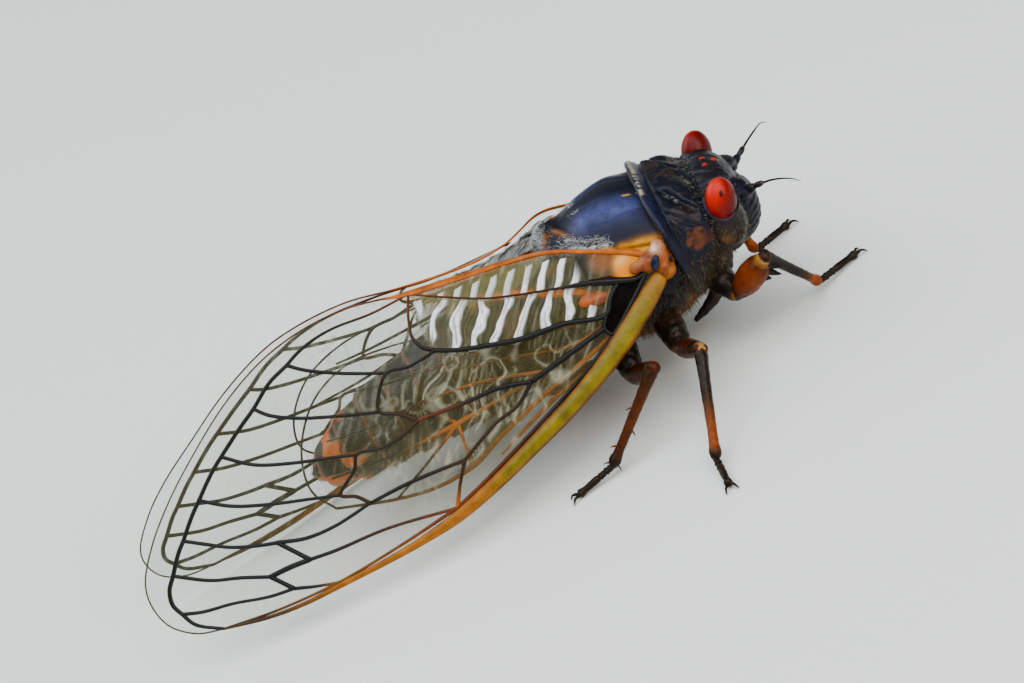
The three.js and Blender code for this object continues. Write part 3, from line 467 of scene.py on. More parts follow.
CLAVAL_LINE = ["root", (1.8, 0.3), (3.1, 0.85), (4.4, 1.6), (7.9, 3.1), (9.5, 3.9), (11.6, 5.3), "clavusEnd"]
CUBITUS_LINE = ["arcLow", (6.5, 0.42), (8.8, 1.0), (10.9, 1.85), (12.2, 2.45), "corner"]
RADIUS_LINE = ["root", (2.7, -0.65), "armCosta", (7.3, -2.55), (11.2, -3.55), (14.9, -4.4), "node"]
# Each vein: its line, its half width in mm at its start, middle and end, and its colours there
VEINS = [
    (["root", (1.8, 0.22), (3.1, 0.85), (4.4, 1.55), (5.6, 2.05)], (0.12, 0.2, 0.06), (BLACK, BLACK, DARK)),
    ([(5.4, 1.98), *CLAVAL_LINE[4:]], (0.065, 0.055, 0.06), (DARK, UMBER, RUST)),
    (["arcHigh", (3.6, 0.15), *CUBITUS_LINE], (0.11, 0.14, 0.11), (BLACK, BLACK, DARK)),
    (["corner", (13.75, 3.6), (13.95, 4.3), (13.65, 5.3), "clavusEnd"],
     (0.11, 0.075, 0.07), (DARK, UMBER, RUST)),
    (["arcLow", "armLow", "armCosta"], (0.1, 0.1, 0.12), (BLACK, BLACK, BLACK)),
    (["armLow", (7, -1.1), "fork"], (0.13, 0.14, 0.13), (BLACK, BLACK, BLACK)),
    (["fork", (11.3, -0.5), (13.1, -0.2), "d"], (0.12, 0.11, 0.1), (BLACK, DARK, RUST)),
    (["fork", (10.8, -1.85), (12.3, -2.0), "cross"], (0.1, 0.085, 0.09), (DARK, UMBER, UMBER)),
    (["cross", (15.7, -3.7), "node"], (0.09, 0.08, 0.11), (UMBER, UMBER, ORANGE)),
    (RADIUS_LINE, (0.12, 0.1, 0.1), (BLACK, DARK, RUST)),
    (["node", (20.5, -4.8), "nodeEnd", (28.0, -4.35), "apex"], (0.09, 0.07, 0.07), (RUST, OCHRE, OLIVE)),
    (["corner", (14.3, 3.05), (14.9, 3.1), "a", (17, 2.8), "c", (16.6, 1.2), "d"],
     (0.085, 0.085, 0.09), (DARK, OLIVE, UMBER)),
    (["d", (17.1, 0.15), (18.4, 0.2), "e", (20.3, 0.0), "f", (21.0, -1.3), "g"],
     (0.09, 0.08, 0.1), (UMBER, OLIVE, UMBER)),
    (["g", (18, -2.2), "cross"], (0.09, 0.1, 0.09), (DARK, DARK, UMBER)),
    (["g", (22.9, -2.05), (24.6, -1.8), "h"], (0.085, 0.09, 0.11), (OLIVE, OLIVE, SLATE)),
    (["h", (25.55, -2.05), "i"], (0.12, 0.12, 0.13), (SLATE, SLATE, SLATE)),
    (["i", (26.2, -2.7), "j"], (0.13, 0.14, 0.13), (SLATE, SLATE, SLATE)),
    (["j", (27.0, -3.2), "k"], (0.13, 0.12, 0.13), (SLATE, SLATE, SLATE)),
    (["k", (25.5, -4.3), "nodeEnd"], (0.1, 0.08, 0.07), (SLATE, OLIVE, OCHRE)),
    (["i", (23.5, -3.2), (20.4, -3.65), "node"], (0.1, 0.08, 0.08), (SLATE, UMBER, RUST)),
    (["a", (17.4, 4.2), (18.8, 5.1), (20.0, 6.0), "end1"], (0.08, 0.09, 0.1), (OLIVE, OLIVE, OLIVE)),
    (["c", (19.2, 2.7), (21.5, 3.9), (22.9, 4.9), "end2"], (0.08, 0.09, 0.1), (OLIVE, OLIVE, OLIVE)),
    (["e", (20.9, 1.1), (23, 2.0), (25, 3.05), "end3"], (0.08, 0.09, 0.1), (OLIVE, OLIVE, OLIVE)),
    (["f", (23.3, -0.1), (25.4, 0.8), (27.3, 1.8), "end4"], (0.08, 0.09, 0.1), (OLIVE, OLIVE, OLIVE)),
    (["h", (27, -0.85), (28.5, -0.1), (29.7, 0.8), "end5"], (0.1, 0.09, 0.1), (SLATE, OLIVE, OLIVE)),
    (["j", (28.9, -1.8), (30.4, -1.1), "end6"], (0.1, 0.09, 0.1), (SLATE, OLIVE, OLIVE)),
    (["k", (28, -3.5), (30, -2.8), (31.7, -2.35), "end7"], (0.09, 0.08, 0.1), (SLATE, OLIVE, OLIVE)),
    (["clavusEnd", (15.3, 6.6), (17.5, 7.05), (18.8, 7.1), (19.9, 6.95), "end1"],
     (0.06, 0.07, 0.1), (RUST, OLIVE, OLIVE)),
    (["end1", (22.0, 6.4), "end2", (24.7, 5.15), "end3", (27.1, 4.0), (27.9, 3.5), "end4", (29.5, 2.4),
      "end5"], (0.105, 0.11, 0.11), (OLIVE, OLIVE, OLIVE)),
    (["end5", (31.2, 1.05), "end6", (32.7, -0.45), (32.95, -1.2), "end7", (32.4, -2.75), "apex"],
     (0.11, 0.12, 0.08), (OLIVE, OLIVE, OLIVE)),
    (OUTER, (0.045, 0.04, 0.055), ("#3c3a22", "#3c3a22", RUST)),
]
VEIN_GROWTH = 1.12
# The front bar of the wing: (s, t) of its middle line, and half its width in mm
BAR = [(0.35, -0.2, 0.42), (1.5, -0.8, 0.58), (3.4, -1.75, 0.66), (5.2, -2.5, 0.62), (7.1, -3.12, 0.57),
       (9, -3.64, 0.53), (11, -4.08, 0.49), (14.2, -4.75, 0.43), (16.7, -5.12, 0.37), (18.8, -5.2, 0.28),
       (21, -5.15, 0.22), (24.3, -4.95, 0.17), (26.5, -4.8, 0.14), (28.6, -4.45, 0.12), (31.1, -3.75, 0.08)]
# The strip along the inner edge, in the same way
STRIP = [(0.75, 0.95, 0.16), (1.6, 1.65, 0.13), (3.2, 2.74, 0.11), (5.3, 4.03, 0.1), (7.5, 4.84, 0.1),
         (9.7, 5.45, 0.12), (12.9, 6.36, 0.13), (14.4, 6.85, 0.05)]


def drawn(line, step=0.12, of=2):
    """A smooth curve through named or given points, sampled evenly by its first numbers of each."""
    p = np.array([JUNCTIONS[q] if isinstance(q, str) else q for q in line], float)
    p = np.concatenate([[2 * p[0] - p[1]], p, [2 * p[-1] - p[-2]]])
    knots = np.concatenate([[0], np.cumsum(np.linalg.norm(np.diff(p[:, :of], axis=0), axis=1) ** 0.5)])
    parts = []
    for i in range(1, len(p) - 2):
        k = knots[i - 1:i + 3]
        length = np.linalg.norm(p[i + 1, :of] - p[i, :of])
        cuts = max(2, int(round(length / step)))
        u = (k[1] + (k[2] - k[1]) * np.arange(cuts) / cuts)[:, None]
        q = [((k[j + 1] - u) * p[i - 1 + j] + (u - k[j]) * p[i + j]) / (k[j + 1] - k[j]) for j in range(3)]
        r = [((k[j + 2] - u) * q[j] + (u - k[j]) * q[j + 1]) / (k[j + 2] - k[j]) for j in range(2)]
        parts.append(((k[2] - u) * r[0] + (u - k[1]) * r[1]) / (k[2] - k[1]))
    return np.concatenate([*parts, p[-2:-1]])


def blended(values, count):
    """Start, middle and end values spread over a count of places."""
    return np.stack([np.interp(np.linspace(0, 2, count), range(3), v) for v in np.transpose(values)], -1)


def wing_tubes(name, veins, side, out):
    """All the veins of a wing as one mesh of closed tubes with painted colours."""
    parts, sides = [], 8
    turn = around(sides)[None, :, None]
    for line, half, codes in veins:
        st = drawn(line)
        count = len(st)
        radius = VEIN_GROWTH * blended([[h] for h in half], count)[:, 0] / 1000
        tone = np.concatenate([blended([linear(c) for c in codes], count), np.full((count, 1), 0.42)], 1)
        middle = wing_point(st[:, 0], st[:, 1], out, side)
        outward = unit(wing_point(st[:, 0], st[:, 1], out + 0.5, side) - middle)
        across = unit(np.cross(unit(np.gradient(middle, axis=0)), outward))
        grid = middle[:, None] + radius[:, None, None] * (
            np.cos(turn) * across[:, None] + np.sin(turn) * outward[:, None])
        parts.append((grid, np.repeat(tone[:, None], sides, 1)))
    return tubes(name, parts, vein_chitin)


def wing_grid(lower, upper, columns, rows):
    """A grid of (s, t) between two edges of a wing, closer together near its ends."""
    first, last = max(lower[:, 0].min(), upper[:, 0].min()), min(lower[:, 0].max(), upper[:, 0].max())
    u = (1 - np.cos(np.linspace(0, math.pi, columns))) / 2
    u = 0.75 * np.linspace(0, 1, columns) + 0.25 * u
    s = first + (last - first) * u
    a, b = lower[lower[:, 0].argsort()], upper[upper[:, 0].argsort()]
    low_t, high_t = np.interp(s, a[:, 0], a[:, 1]), np.interp(s, b[:, 0], b[:, 1])
    v = np.linspace(0, 1, rows)
    return np.repeat(s[:, None], rows, 1), low_t[:, None] * (1 - v) + high_t[:, None] * v


def wing_sheet(name, s, t, out, side, tint, material):
    """A wing film as a single sheet over a grid of (s, t)."""
    points = wing_point(s, t, out, side).reshape(-1, 3)
    columns, rows = s.shape
    faces = []
    for i in range(columns - 1):
        for k in range(rows - 1):
            a = i * rows + k
            quad = (a, a + 1, a + rows + 1, a + rows)
            faces.append(quad if side > 0 else quad[::-1])
    return mesh_piece(name, points, faces, tint.reshape(-1, 4), material)


def film(name, rough, shine):
    """A clear wing film: tint gives its colour, and how much it hides. The more it hides, the duller."""
    made = bpy.data.materials.new(name)
    made.use_nodes = True
    tree = made.node_tree
    tint = add(tree, "Attribute", attribute_name="tint")
    place = add(tree, "TexCoord").outputs["Object"]
    creases = add(tree, "TexNoise", {"Vector": place, "Scale": 2.6 * PER_MM, "Detail": 3.0,
                                     "Distortion": 0.6})
    relief = add(tree, "Bump", {"Height": creases.outputs["Fac"], "Strength": 0.3, "Distance": 0.00005})
    glance = add(tree, "Fresnel", {"IOR": 1.5, "Normal": relief.outputs["Normal"]})
    more = add(tree, "Math", {0: glance.outputs["Fac"], 1: 0.4, 2: tint.outputs["Alpha"]},
               operation="MULTIPLY_ADD", use_clamp=True)
    dull = add(tree, "Math", {0: tint.outputs["Alpha"], 1: -shine, 2: shine}, operation="MULTIPLY_ADD")
    feed(tree, {"Base Color": tint.outputs["Color"], "Alpha": more.outputs["Value"], "Roughness": rough,
                "Normal": relief.outputs["Normal"], "Specular IOR Level": dull.outputs["Value"], "IOR": 1.56})
    return made


# Vein chitin: hollow struts, glossier than the body's plates
vein_chitin = chitin.copy()
vein_chitin.name = "vein_chitin"
feed(vein_chitin.node_tree, {"Coat Weight": 0.1, "Specular IOR Level": 0.14, "Specular Tint": (1, 1, 1, 1)})
# Clear film: glassy between the veins, with creases two or three to the millimetre
clear_film = film("clear_wing_film", 0.16, 0.32)

CLAVAL, CUBITUS, RADIUS = drawn(CLAVAL_LINE), drawn([*CUBITUS_LINE, (13.9, 4.3)]), drawn(RADIUS_LINE)


def line_t(line, s):
    """How far across the wing a line lies at s."""
    return np.interp(s, line[:, 0], line[:, 1])


def cell(line, s, t):
    """1 inside a closed (s, t) outline with straight sides, else 0."""
    inside = np.zeros(s.shape, bool)
    for (s0, t0), (s1, t1) in zip(line, line[1:] + line[:1]):
        crossing = (t0 > t) != (t1 > t)
        inside ^= crossing & (s < (s1 - s0) * (t - t0) / (t1 - t0 + 1e-12) + s0)
    return inside.astype(float)


def fold_run(s, t):
    """Distance square to the folds of the wing's film."""
    return 0.74 * s + 0.67 * t


def ripple(phase, half):
    """Crests of height 1, one to every whole number of a phase."""
    return np.exp(-(((phase % 1.0) - 0.5) / half) ** 2)


def hide(tint, least):
    """Makes a film hide at least so much."""
    tint[..., 3] = np.maximum(tint[..., 3], least)


def corners(piece):
    """A piece's corner places and outward directions."""
    count = len(piece.data.vertices)
    co, no = np.empty(count * 3), np.empty(count * 3)
    piece.data.vertices.foreach_get("co", co)
    piece.data.vertices.foreach_get("normal", no)
    return co.reshape(-1, 3), no.reshape(-1, 3)


def ball(segments, rings):
    """A new ball of radius 1, and its corner places."""
    bpy.ops.object.select_all(action="DESELECT")
    bpy.ops.mesh.primitive_uv_sphere_add(segments=segments, ring_count=rings, radius=1)
    return bpy.context.object, corners(bpy.context.object)[0]


def joined(pieces):
    """Pieces joined into the first, turns and sizes applied."""
    bpy.ops.object.select_all(action="DESELECT")
    for piece in pieces:
        piece.select_set(True)
    bpy.context.view_layer.objects.active = pieces[0]
    bpy.ops.object.transform_apply(location=True, rotation=True, scale=True)
    bpy.ops.object.join()
    return bpy.context.object


def fused(lobes, fineness, voxel, rounds):
    """One soft skin from lobes, each a ball given by its place, its half sizes and its turn."""
    balls = []
    for at, size, turned in lobes:
        bpy.ops.object.select_all(action="DESELECT")
        bpy.ops.mesh.primitive_ico_sphere_add(subdivisions=fineness, radius=1, location=at, rotation=turned)
        balls.append(bpy.context.object)
        balls[-1].scale = size
    piece = joined(balls)
    fuse = piece.modifiers.new("fuse", "REMESH")
    fuse.mode = "VOXEL"
    fuse.voxel_size = voxel
    bpy.ops.object.modifier_apply(modifier="fuse")
    soften = piece.modifiers.new("soften", "SMOOTH")
    soften.factor = 0.5
    soften.iterations = rounds
    bpy.ops.object.modifier_apply(modifier="soften")
    return piece


def dressed(piece, name, co, tint, material, side=1):
    """Gives a piece its name, corner places in metres, tint and material; side -1 turns its faces."""
    piece.name = name
    piece.data.vertices.foreach_set("co", co.ravel())
    if side < 0:
        piece.data.flip_normals()
    lay(piece.data, tint)
    piece.data.materials.clear()
    piece.data.materials.append(material)
    piece.data.shade_smooth()
    return piece


STRAIGHT = (0, 0, 0)
BOTH = ((1, "left"), (-1, "right"))
# Heights above the middle of the wing's skin, in mm
FILM_VEINS_OUT, BAR_OUT = 0.02, 0.05

# Forewing film: wrinkles across it with painted glints, painted shade over the belly, a black cell and an
# orange plate with a painted glint
lower = drawn(COSTA + OUTER[1:4])
upper = np.concatenate([drawn(OUTER[3:]), drawn(INNER)])
s, t = wing_grid(lower, upper, 400, 110)
flat = np.stack([s, t, np.zeros_like(s)], -1)
f = fold_run(s, t) + 0.9 * (noise(flat, 1.6, 41) - 0.5)
cross = ripple(f / 0.55, 0.16)
broken = ease(noise(flat, 0.9, 42), 0.45, 0.7)
near = 1 - ease(s, 9, 21)
film_out = 0.02 * (noise(flat, 0.8, 43) - 0.5) + 0.03 * cross * broken
tint = painted(s.shape, "#706c46", 0.0)
tint[..., 3] = 0.13 + 0.06 * noise(flat, 2.2, 44) - 0.07 * near
# The crests of the wrinkles are painted pale and hide more: painted glints.
paint(tint, "#a8a88c", cross * broken * 0.7)
tint[..., 3] += 0.14 * cross * broken * (0.35 + 0.65 * near)
under = (t < line_t(CUBITUS, s)) * (t > line_t(RADIUS, s)) * (s < 15) * (s > 4)
# Painted shade: a darker, less clear film in patches over the belly, between the long veins.
painted_belly_shade = under * ease(noise(flat * [0.6, 1, 1], 1.0, 45), 0.3, 0.75) * (1 - ease(s, 9, 16))
paint(tint, "#2a1e08", painted_belly_shade * 0.95)
tint[..., 3] += 0.34 * painted_belly_shade
# Pale winding wrinkle lines near the body: painted glints.
rings = np.exp(-(((noise(flat * [0.8, 1, 1], 0.75, 46) - 0.5) / 0.03) ** 2))
rings *= (1 - ease(s, 17, 23)) * ease(s, 5, 8) * (t > line_t(RADIUS, s) + 0.25)
rings *= t < line_t(CUBITUS, s) + 4 * (s > 13.2)
paint(tint, "#a4a488", rings * 0.8)
tint[..., 3] += 0.22 * rings
black = np.maximum(
    cell([(0.9, 0.45), (2.8, -0.62), (4.5, -1.6), (4.75, -1.0), (4.2, -0.45), (3.6, 0.15), (2.7, 0.7)], s, t),
    cell([(1.4, 0.2), (1.8, 0.08), (3.0, 0.6), (4.4, 1.38), (6.0, 2.2), (4.4, 1.72), (3.1, 1.22),
          (1.8, 0.62)], s, t))
paint(tint, "#080706", black)
hide(tint, 0.97 * black)
clavus = t > line_t(CLAVAL, s) + 0.02
plate = ease(bump(np.hypot(s - 1.5, (t - 1.0) * 1.15), 0, 1.8), 0.3, 0.6) * clavus
soft = ease(bump(np.hypot(s - 2.7, (t - 2.1) * 1.3), 0, 1.8), 0.25, 0.9) * clavus
paint(tint, "#8c4a02", soft * 0.85)
hide(tint, 0.6 * soft)
paint(tint, "#d67c00", plate)
hide(tint, 0.96 * plate)
glint = bump(np.hypot((s - 2.1) * 0.9, (t - 1.5) * 1.5), 0, 0.5)
paint(tint, "#e0c890", glint * 0.4)
rim = bump(line_t(upper[::-1], s) - t, 0.05, 0.26) * (s < 13.2)
paint(tint, "#944c06", rim * 0.9)
hide(tint, 0.6 * rim)
film_tint = tint
for side, word in BOTH:
    wing = wing_sheet("forewing_film_" + word, s, t, film_out, side, film_tint, clear_film)
    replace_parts(wing, "forewing_" + word)
    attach(wing, "root")

    veins = wing_tubes("forewing_veins_" + word, VEINS, side, FILM_VEINS_OUT)
    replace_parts(veins, "forewing_" + word)
    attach(veins, "root")

    # The front bar and the inner strip: flattened orange struts
    parts = []
    turn = around(28)
    for line, tallest, grown in ((BAR, 0.36, 0.9), (STRIP, 0.09, 1.1)):
        st = drawn(line, 0.1)
        run = unit(np.gradient(st[:, :2], axis=0))
        across = np.stack([-run[:, 1], run[:, 0]], -1)
        round_in = np.minimum(1, np.sqrt(np.clip(np.arange(len(st)) / 5 + 0.1, 0, 1)))
        round_in = round_in if line is BAR else round_in * round_in[::-1]
        half = np.maximum(st[:, 2] * round_in * grown, 0.004)[:, None]
        wide = np.cos(turn)[None] * half
        tall = np.sin(turn)[None] * (np.minimum(tallest, st[:, 2] * 0.62) * round_in)[:, None]
        ring = wing_point(st[:, :1] + across[:, :1] * wide, st[:, 1:2] + across[:, 1:] * wide,
                          tall + BAR_OUT, side)
        if side > 0:
            ring, wide = ring[:, ::-1], wide[:, ::-1]
        tint = painted(wide.shape, "#824802", 0.4)
        if line is BAR:
            at = np.broadcast_to(st[:, :1], wide.shape)
            # Across the bar: an olive-yellow middle, its own colour partly brightened as a painted highlight,
            # and darker edges, the outer one darkest, partly painted shade.
            centre = bump(wide / half, 0.05, 0.95) * (1 - ease(at, 11, 16))
            paint(tint, "#685c00", np.clip(centre * 1.5, 0, 0.95), 0.38)
            paint(tint, "#4a1e02", ease(-wide / half, 0.62, 1.0) * 0.9)
            paint(tint, "#6e3402", ease(wide / half, 0.62, 1.0) * 0.7)
            paint(tint, "#8a5204", (1 - ease(at, 0.6, 3.0)) * 0.6)
            paint(tint, "#8c5202", ease(at, 13, 17) * (1 - ease(at, 22, 27)) * 0.8)
            paint(tint, "#2a1e06", ease(at, 23, 29) * 0.9)
        else:
            paint(tint, "#a04c00", np.ones_like(wide) * 0.9)
        parts.append((ring, tint))
    bar = tubes("forewing_bar_" + word, parts, vein_chitin)
    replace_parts(bar, "forewing_" + word)
    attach(bar, "root")

    # The hinge: soft orange skin with small hard plates, where the wing meets the thorax
    hinge = fused((
        ((4.7, 4.55, 7.35), (0.72, 0.62, 0.85), STRAIGHT), ((4.1, 4.68, 7.6), (0.62, 0.52, 0.6), STRAIGHT),
        ((5.05, 4.4, 7.95), (0.48, 0.5, 0.5), STRAIGHT), ((4.75, 4.9, 6.85), (0.5, 0.4, 0.6), STRAIGHT),
        ((3.5, 4.8, 7.75), (0.5, 0.3, 0.36), STRAIGHT)), 4, 0.045, 14)
    body, outward = corners(hinge)
    body = body + outward * ((noise(body, 0.3, 51) - 0.5) * 0.14)[:, None]
    tint = painted((len(body),), "#7a3a0c", 0.42)
    # Paler and pinker towards the top, partly its own colour and partly a painted highlight.
    paint(tint, "#945c38", ease(body[:, 2], 7.5, 8.2) * 0.7)
    paint(tint, "#8e4c02", ease(-body[:, 2], -7.15, -6.7))
    paint(tint, "#4a1a06", ease(noise(body, 0.3, 52), 0.5, 0.75) * 0.5)
    # A pale pink spot on the top: a painted highlight.
    paint(tint, "#d8b8a0", bump(np.hypot(body[:, 0] - 4.75, body[:, 2] - 8.2), 0, 0.3) * 0.7)
    body[:, 1] *= side
    dressed(hinge, "wing_hinge_" + word, placed(body), tint, vein_chitin, side)
    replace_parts(hinge, "forewing_" + word)
    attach(hinge, "root")

    # Two dark hard plates in the hinge skin
    knobs = []
    for at, size, tipped, code in (((4.42, 5.14, 7.55), (0.24, 0.24, 0.46), 0.6, "#161c2a"),
                                   ((5.2, 4.97, 7.2), (0.13, 0.14, 0.22), 0.2, "#140c08")):
        knob, body = ball(40, 24)
        body = (body * size) @ np.array(Matrix.Rotation(tipped, 3, "Y")).T + at
        body[:, 1] *= side
        tint = painted((len(body),), code, 0.3)
        knobs.append(dressed(knob, "wing_hinge_plates_" + word, placed(body), tint, chitin, side))
    plates = joined(knobs)
    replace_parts(plates, "forewing_" + word)
    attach(plates, "root")

# Hind wings
# The hind wing is shorter, clear, with orange veins. Its rear lobe lies pleated against the forewing,
# and the light caught on the crests of the pleats, painted white as painted glare, shows through. Both were
# folded under the forewings at rest.

# Folded film: the same chitin, duller for its many small folds
folded_film = film("folded_wing_film", 0.36, 0.26)
HIND = {
    "front": (2.2, -0.9), "rear": (2.6, 0.6), "fork": (8.5, -1.2), "low": (14.6, -3.3), "tip": (22.4, -1.3),
    "a": (14.2, -0.9), "b": (15.6, 1.2), "c": (14.4, 2.6), "end1": (21.8, 0.2), "end2": (21.0, 2.1),
    "end3": (18.8, 3.9), "end4": (13.0, 4.2), "end0": (19.2, -2.6),
}
JUNCTIONS.update({"hind_" + name: at for name, at in HIND.items()})


def hind(*names):
    return ["hind_" + n if isinstance(n, str) else n for n in names]


GOLD, AMBER, SAND = "#7c4402", "#984f02", "#4a3410"
HIND_FRONT = hind("front", (5, -1.6), (9.5, -2.2), (12.5, -2.75), "low", (17, -3.2), "end0", "tip")
HIND_OUTER = hind("tip", (23.1, 0.2), (22.5, 2.3), (20.5, 4.4), (18, 5.2), (15.5, 4.9), "end4", (9.5, 3.3),
                  (5.5, 1.9), "rear")
HIND_VEINS = [
    (HIND_FRONT, (0.12, 0.12, 0.07), (AMBER, GOLD, OLIVE)),
    (HIND_OUTER, (0.06, 0.05, 0.08), (OLIVE, OLIVE, GOLD)),
    (hind("front", (5, -0.85), "fork"), (0.09, 0.1, 0.1), (AMBER, GOLD, AMBER)),
    (hind("fork", (11.3, -1.05), "a"), (0.09, 0.09, 0.12), (GOLD, GOLD, AMBER)),
    (hind("a", (17.5, -0.6), "end1"), (0.12, 0.07, 0.06), (AMBER, DARK, OLIVE)),
    (hind("fork", (12, 0.3), "b"), (0.09, 0.08, 0.09), (GOLD, GOLD, UMBER)),
    (hind("b", (18.4, 1.5), "end2"), (0.09, 0.07, 0.06), (UMBER, OLIVE, OLIVE)),
    (hind("rear", (5.7, 0.0), (8, 0.9), (11.8, 1.95), "c"), (0.09, 0.08, 0.09), (AMBER, GOLD, UMBER)),
    (hind("c", (16.8, 3.2), "end3"), (0.08, 0.07, 0.06), (UMBER, OLIVE, OLIVE)),
    (hind("a", (14.45, -2.1), "low"), (0.09, 0.08, 0.08), (AMBER, GOLD, GOLD)),
    (hind("a", (15.0, 0.2), "b"), (0.09, 0.08, 0.08), (AMBER, UMBER, UMBER)),
    (hind("b", (14.9, 1.95), "c"), (0.08, 0.08, 0.08), (UMBER, UMBER, UMBER)),
    (hind("a", (17, -1.9), "end0"), (0.1, 0.07, 0.06), (AMBER, UMBER, OLIVE)),
    (hind("c", (13.8, 3.5), "end4"), (0.07, 0.06, 0.06), (UMBER, SAND, SAND)),
    (hind("front", (6.7, -0.75), (10.3, 0.7), (13.9, 2.1)), (0.06, 0.06, 0.04), (AMBER, GOLD, SAND)),
    (hind((6.2, -2.3), (9.5, -2.75), (13.0, -3.6)), (0.1, 0.11, 0.04), (OCHRE, GOLD, AMBER)),
]
HIND_FILM_OUT, HIND_VEINS_OUT, LOBE_OUT = -0.86, -0.84, -0.3
# Hind wing film: pale folds, painted glints, over a dark ground which near the body is painted shade
s, t = wing_grid(drawn(HIND_FRONT), drawn(HIND_OUTER), 300, 90)
flat = np.stack([s, t, np.ones_like(s)], -1)
f = fold_run(s, t) + 1.2 * (noise(flat, 1.4, 61) - 0.5)
cross = ripple(f / 0.8, 0.13) * ease(noise(flat, 1.1, 62), 0.35, 0.65)
hind_out = HIND_FILM_OUT + 0.07 * cross + 0.05 * (noise(flat, 1.3, 63) - 0.5)
fine = ripple(f / 0.31, 0.16) * ease(noise(flat, 0.8, 69), 0.4, 0.7)
near = (1 - ease(s, 13, 21)) * (1 - ease(t, 2.0, 3.4))
hind_tint = painted(s.shape, "#2c2208", 0.0)
# Near the body the dark film hides more: painted shade.
hind_tint[..., 3] = 0.08 + near * (0.3 + 0.4 * ease(noise(flat, 1.3, 64), 0.3, 0.7))
paint(hind_tint, "#4a3a12", ease(noise(flat, 0.7, 70), 0.5, 0.75) * 0.6)
# Pale folds and fine creases: painted glints.
paint(hind_tint, "#b4ae90", np.clip(cross + 0.7 * fine, 0, 1) * 0.9)
hide(hind_tint, (0.6 * cross + 0.35 * fine) * (0.25 + 0.75 * near))
hind_st = s, t

# The pleated lobe: its ridge crests painted white as painted glare, with dark film between them, painted
# shade, and golden film
s, t = wing_grid(
    drawn(["arcLow", (5.2, -0.1), (6.5, 0.3), (8.8, 0.88), (10.9, 1.7), (12.2, 2.3), (13.4, 3.0)]),
    np.array([(4.2, 3.2), (5.4, 3.95), (7.5, 4.7), (9.7, 5.3), (11.6, 5.85), (13.4, 6.3)]), 300, 130)
flat = np.stack([s, t, np.full_like(s, 2.0)], -1)
f = fold_run(s, t)
above = ease(t - line_t(CLAVAL, s), 0.02, 0.12)
wobble = noise(flat, 0.7, 65) - 0.5
claval_phase = (f / 0.93 - 0.28 + 0.16 * wobble + 0.5) % 1.0 - 0.5
anal_phase = (f / 1.22 + 0.34 * wobble + 0.12 * np.sin(2.6 * t) + 0.5) % 1.0 - 0.5
wide_by = 0.85 + 0.5 * noise(flat, 0.5, 66)
claval_bar = 1 - ease(np.abs(claval_phase) / wide_by, 0.14, 0.22)
anal_bar = 1 - ease(np.abs(anal_phase) / wide_by, 0.11, 0.19)
anal_bar *= 1 - 0.55 * np.exp(-((np.abs(anal_phase) / 0.03) ** 2)) * ease(noise(flat, 0.5, 73), 0.4, 0.6)
# The crests of the pleats, where they catch the light, are painted white: painted glare.
glare_crests = above * claval_bar + (1 - above) * anal_bar
fade = ease(s, 4.1, 4.9) * (1 - ease(s, 12.9, 13.3))
inner_t = np.interp(s, [0.9, 3.2, 5.3, 7.5, 9.7, 12.9], [1.2, 2.75, 4.0, 4.8, 5.4, 6.3])
glare_crests *= fade * ease(inner_t - t, 0.18, 0.34)
lines = ripple(f / 0.31 + 1.2 * wobble, 0.2)
lobe_out = LOBE_OUT + 0.14 * glare_crests + 0.05 * np.cos(f / 0.93 * 2 * math.pi) + 0.03 * lines
lobe_tint = painted(s.shape, "#302c0c", 0.0)
mottle = noise(flat, 0.45, 67)
# Dark mottled film between the crests, darkest near the root: painted shade.
paint(lobe_tint, "#14120a", ease(mottle, 0.4, 0.7) * (1 - 0.7 * ease(s, 7.5, 12)) * 0.95)
paint(lobe_tint, "#5a3e10", ease(noise(flat, 0.5, 68), 0.55, 0.8) * 0.7)
band_t = np.interp(s, [4.2, 5.2, 6.2, 7.1, 7.9, 9.1, 10.3], [0.95, 1.62, 2.2, 2.85, 3.35, 3.9, 4.5])
band = bump(t, band_t, 0.27) * ease(s, 4.2, 4.8) * (1 - ease(s, 8.5, 11.0))
paint(lobe_tint, "#b05802", band * 1.2)
lobe_tint[..., 3] = (0.62 + 0.22 * mottle) * ease(s, 4.0, 4.6) * (1 - 0.45 * ease(s, 10.5, 13))
hide(lobe_tint, 0.9 * np.clip(band, 0, 1) * ease(s, 4.1, 4.6))
# Faint pale lines on the fine creases: painted glints.
paint(lobe_tint, "#7a7648", lines * 0.22)
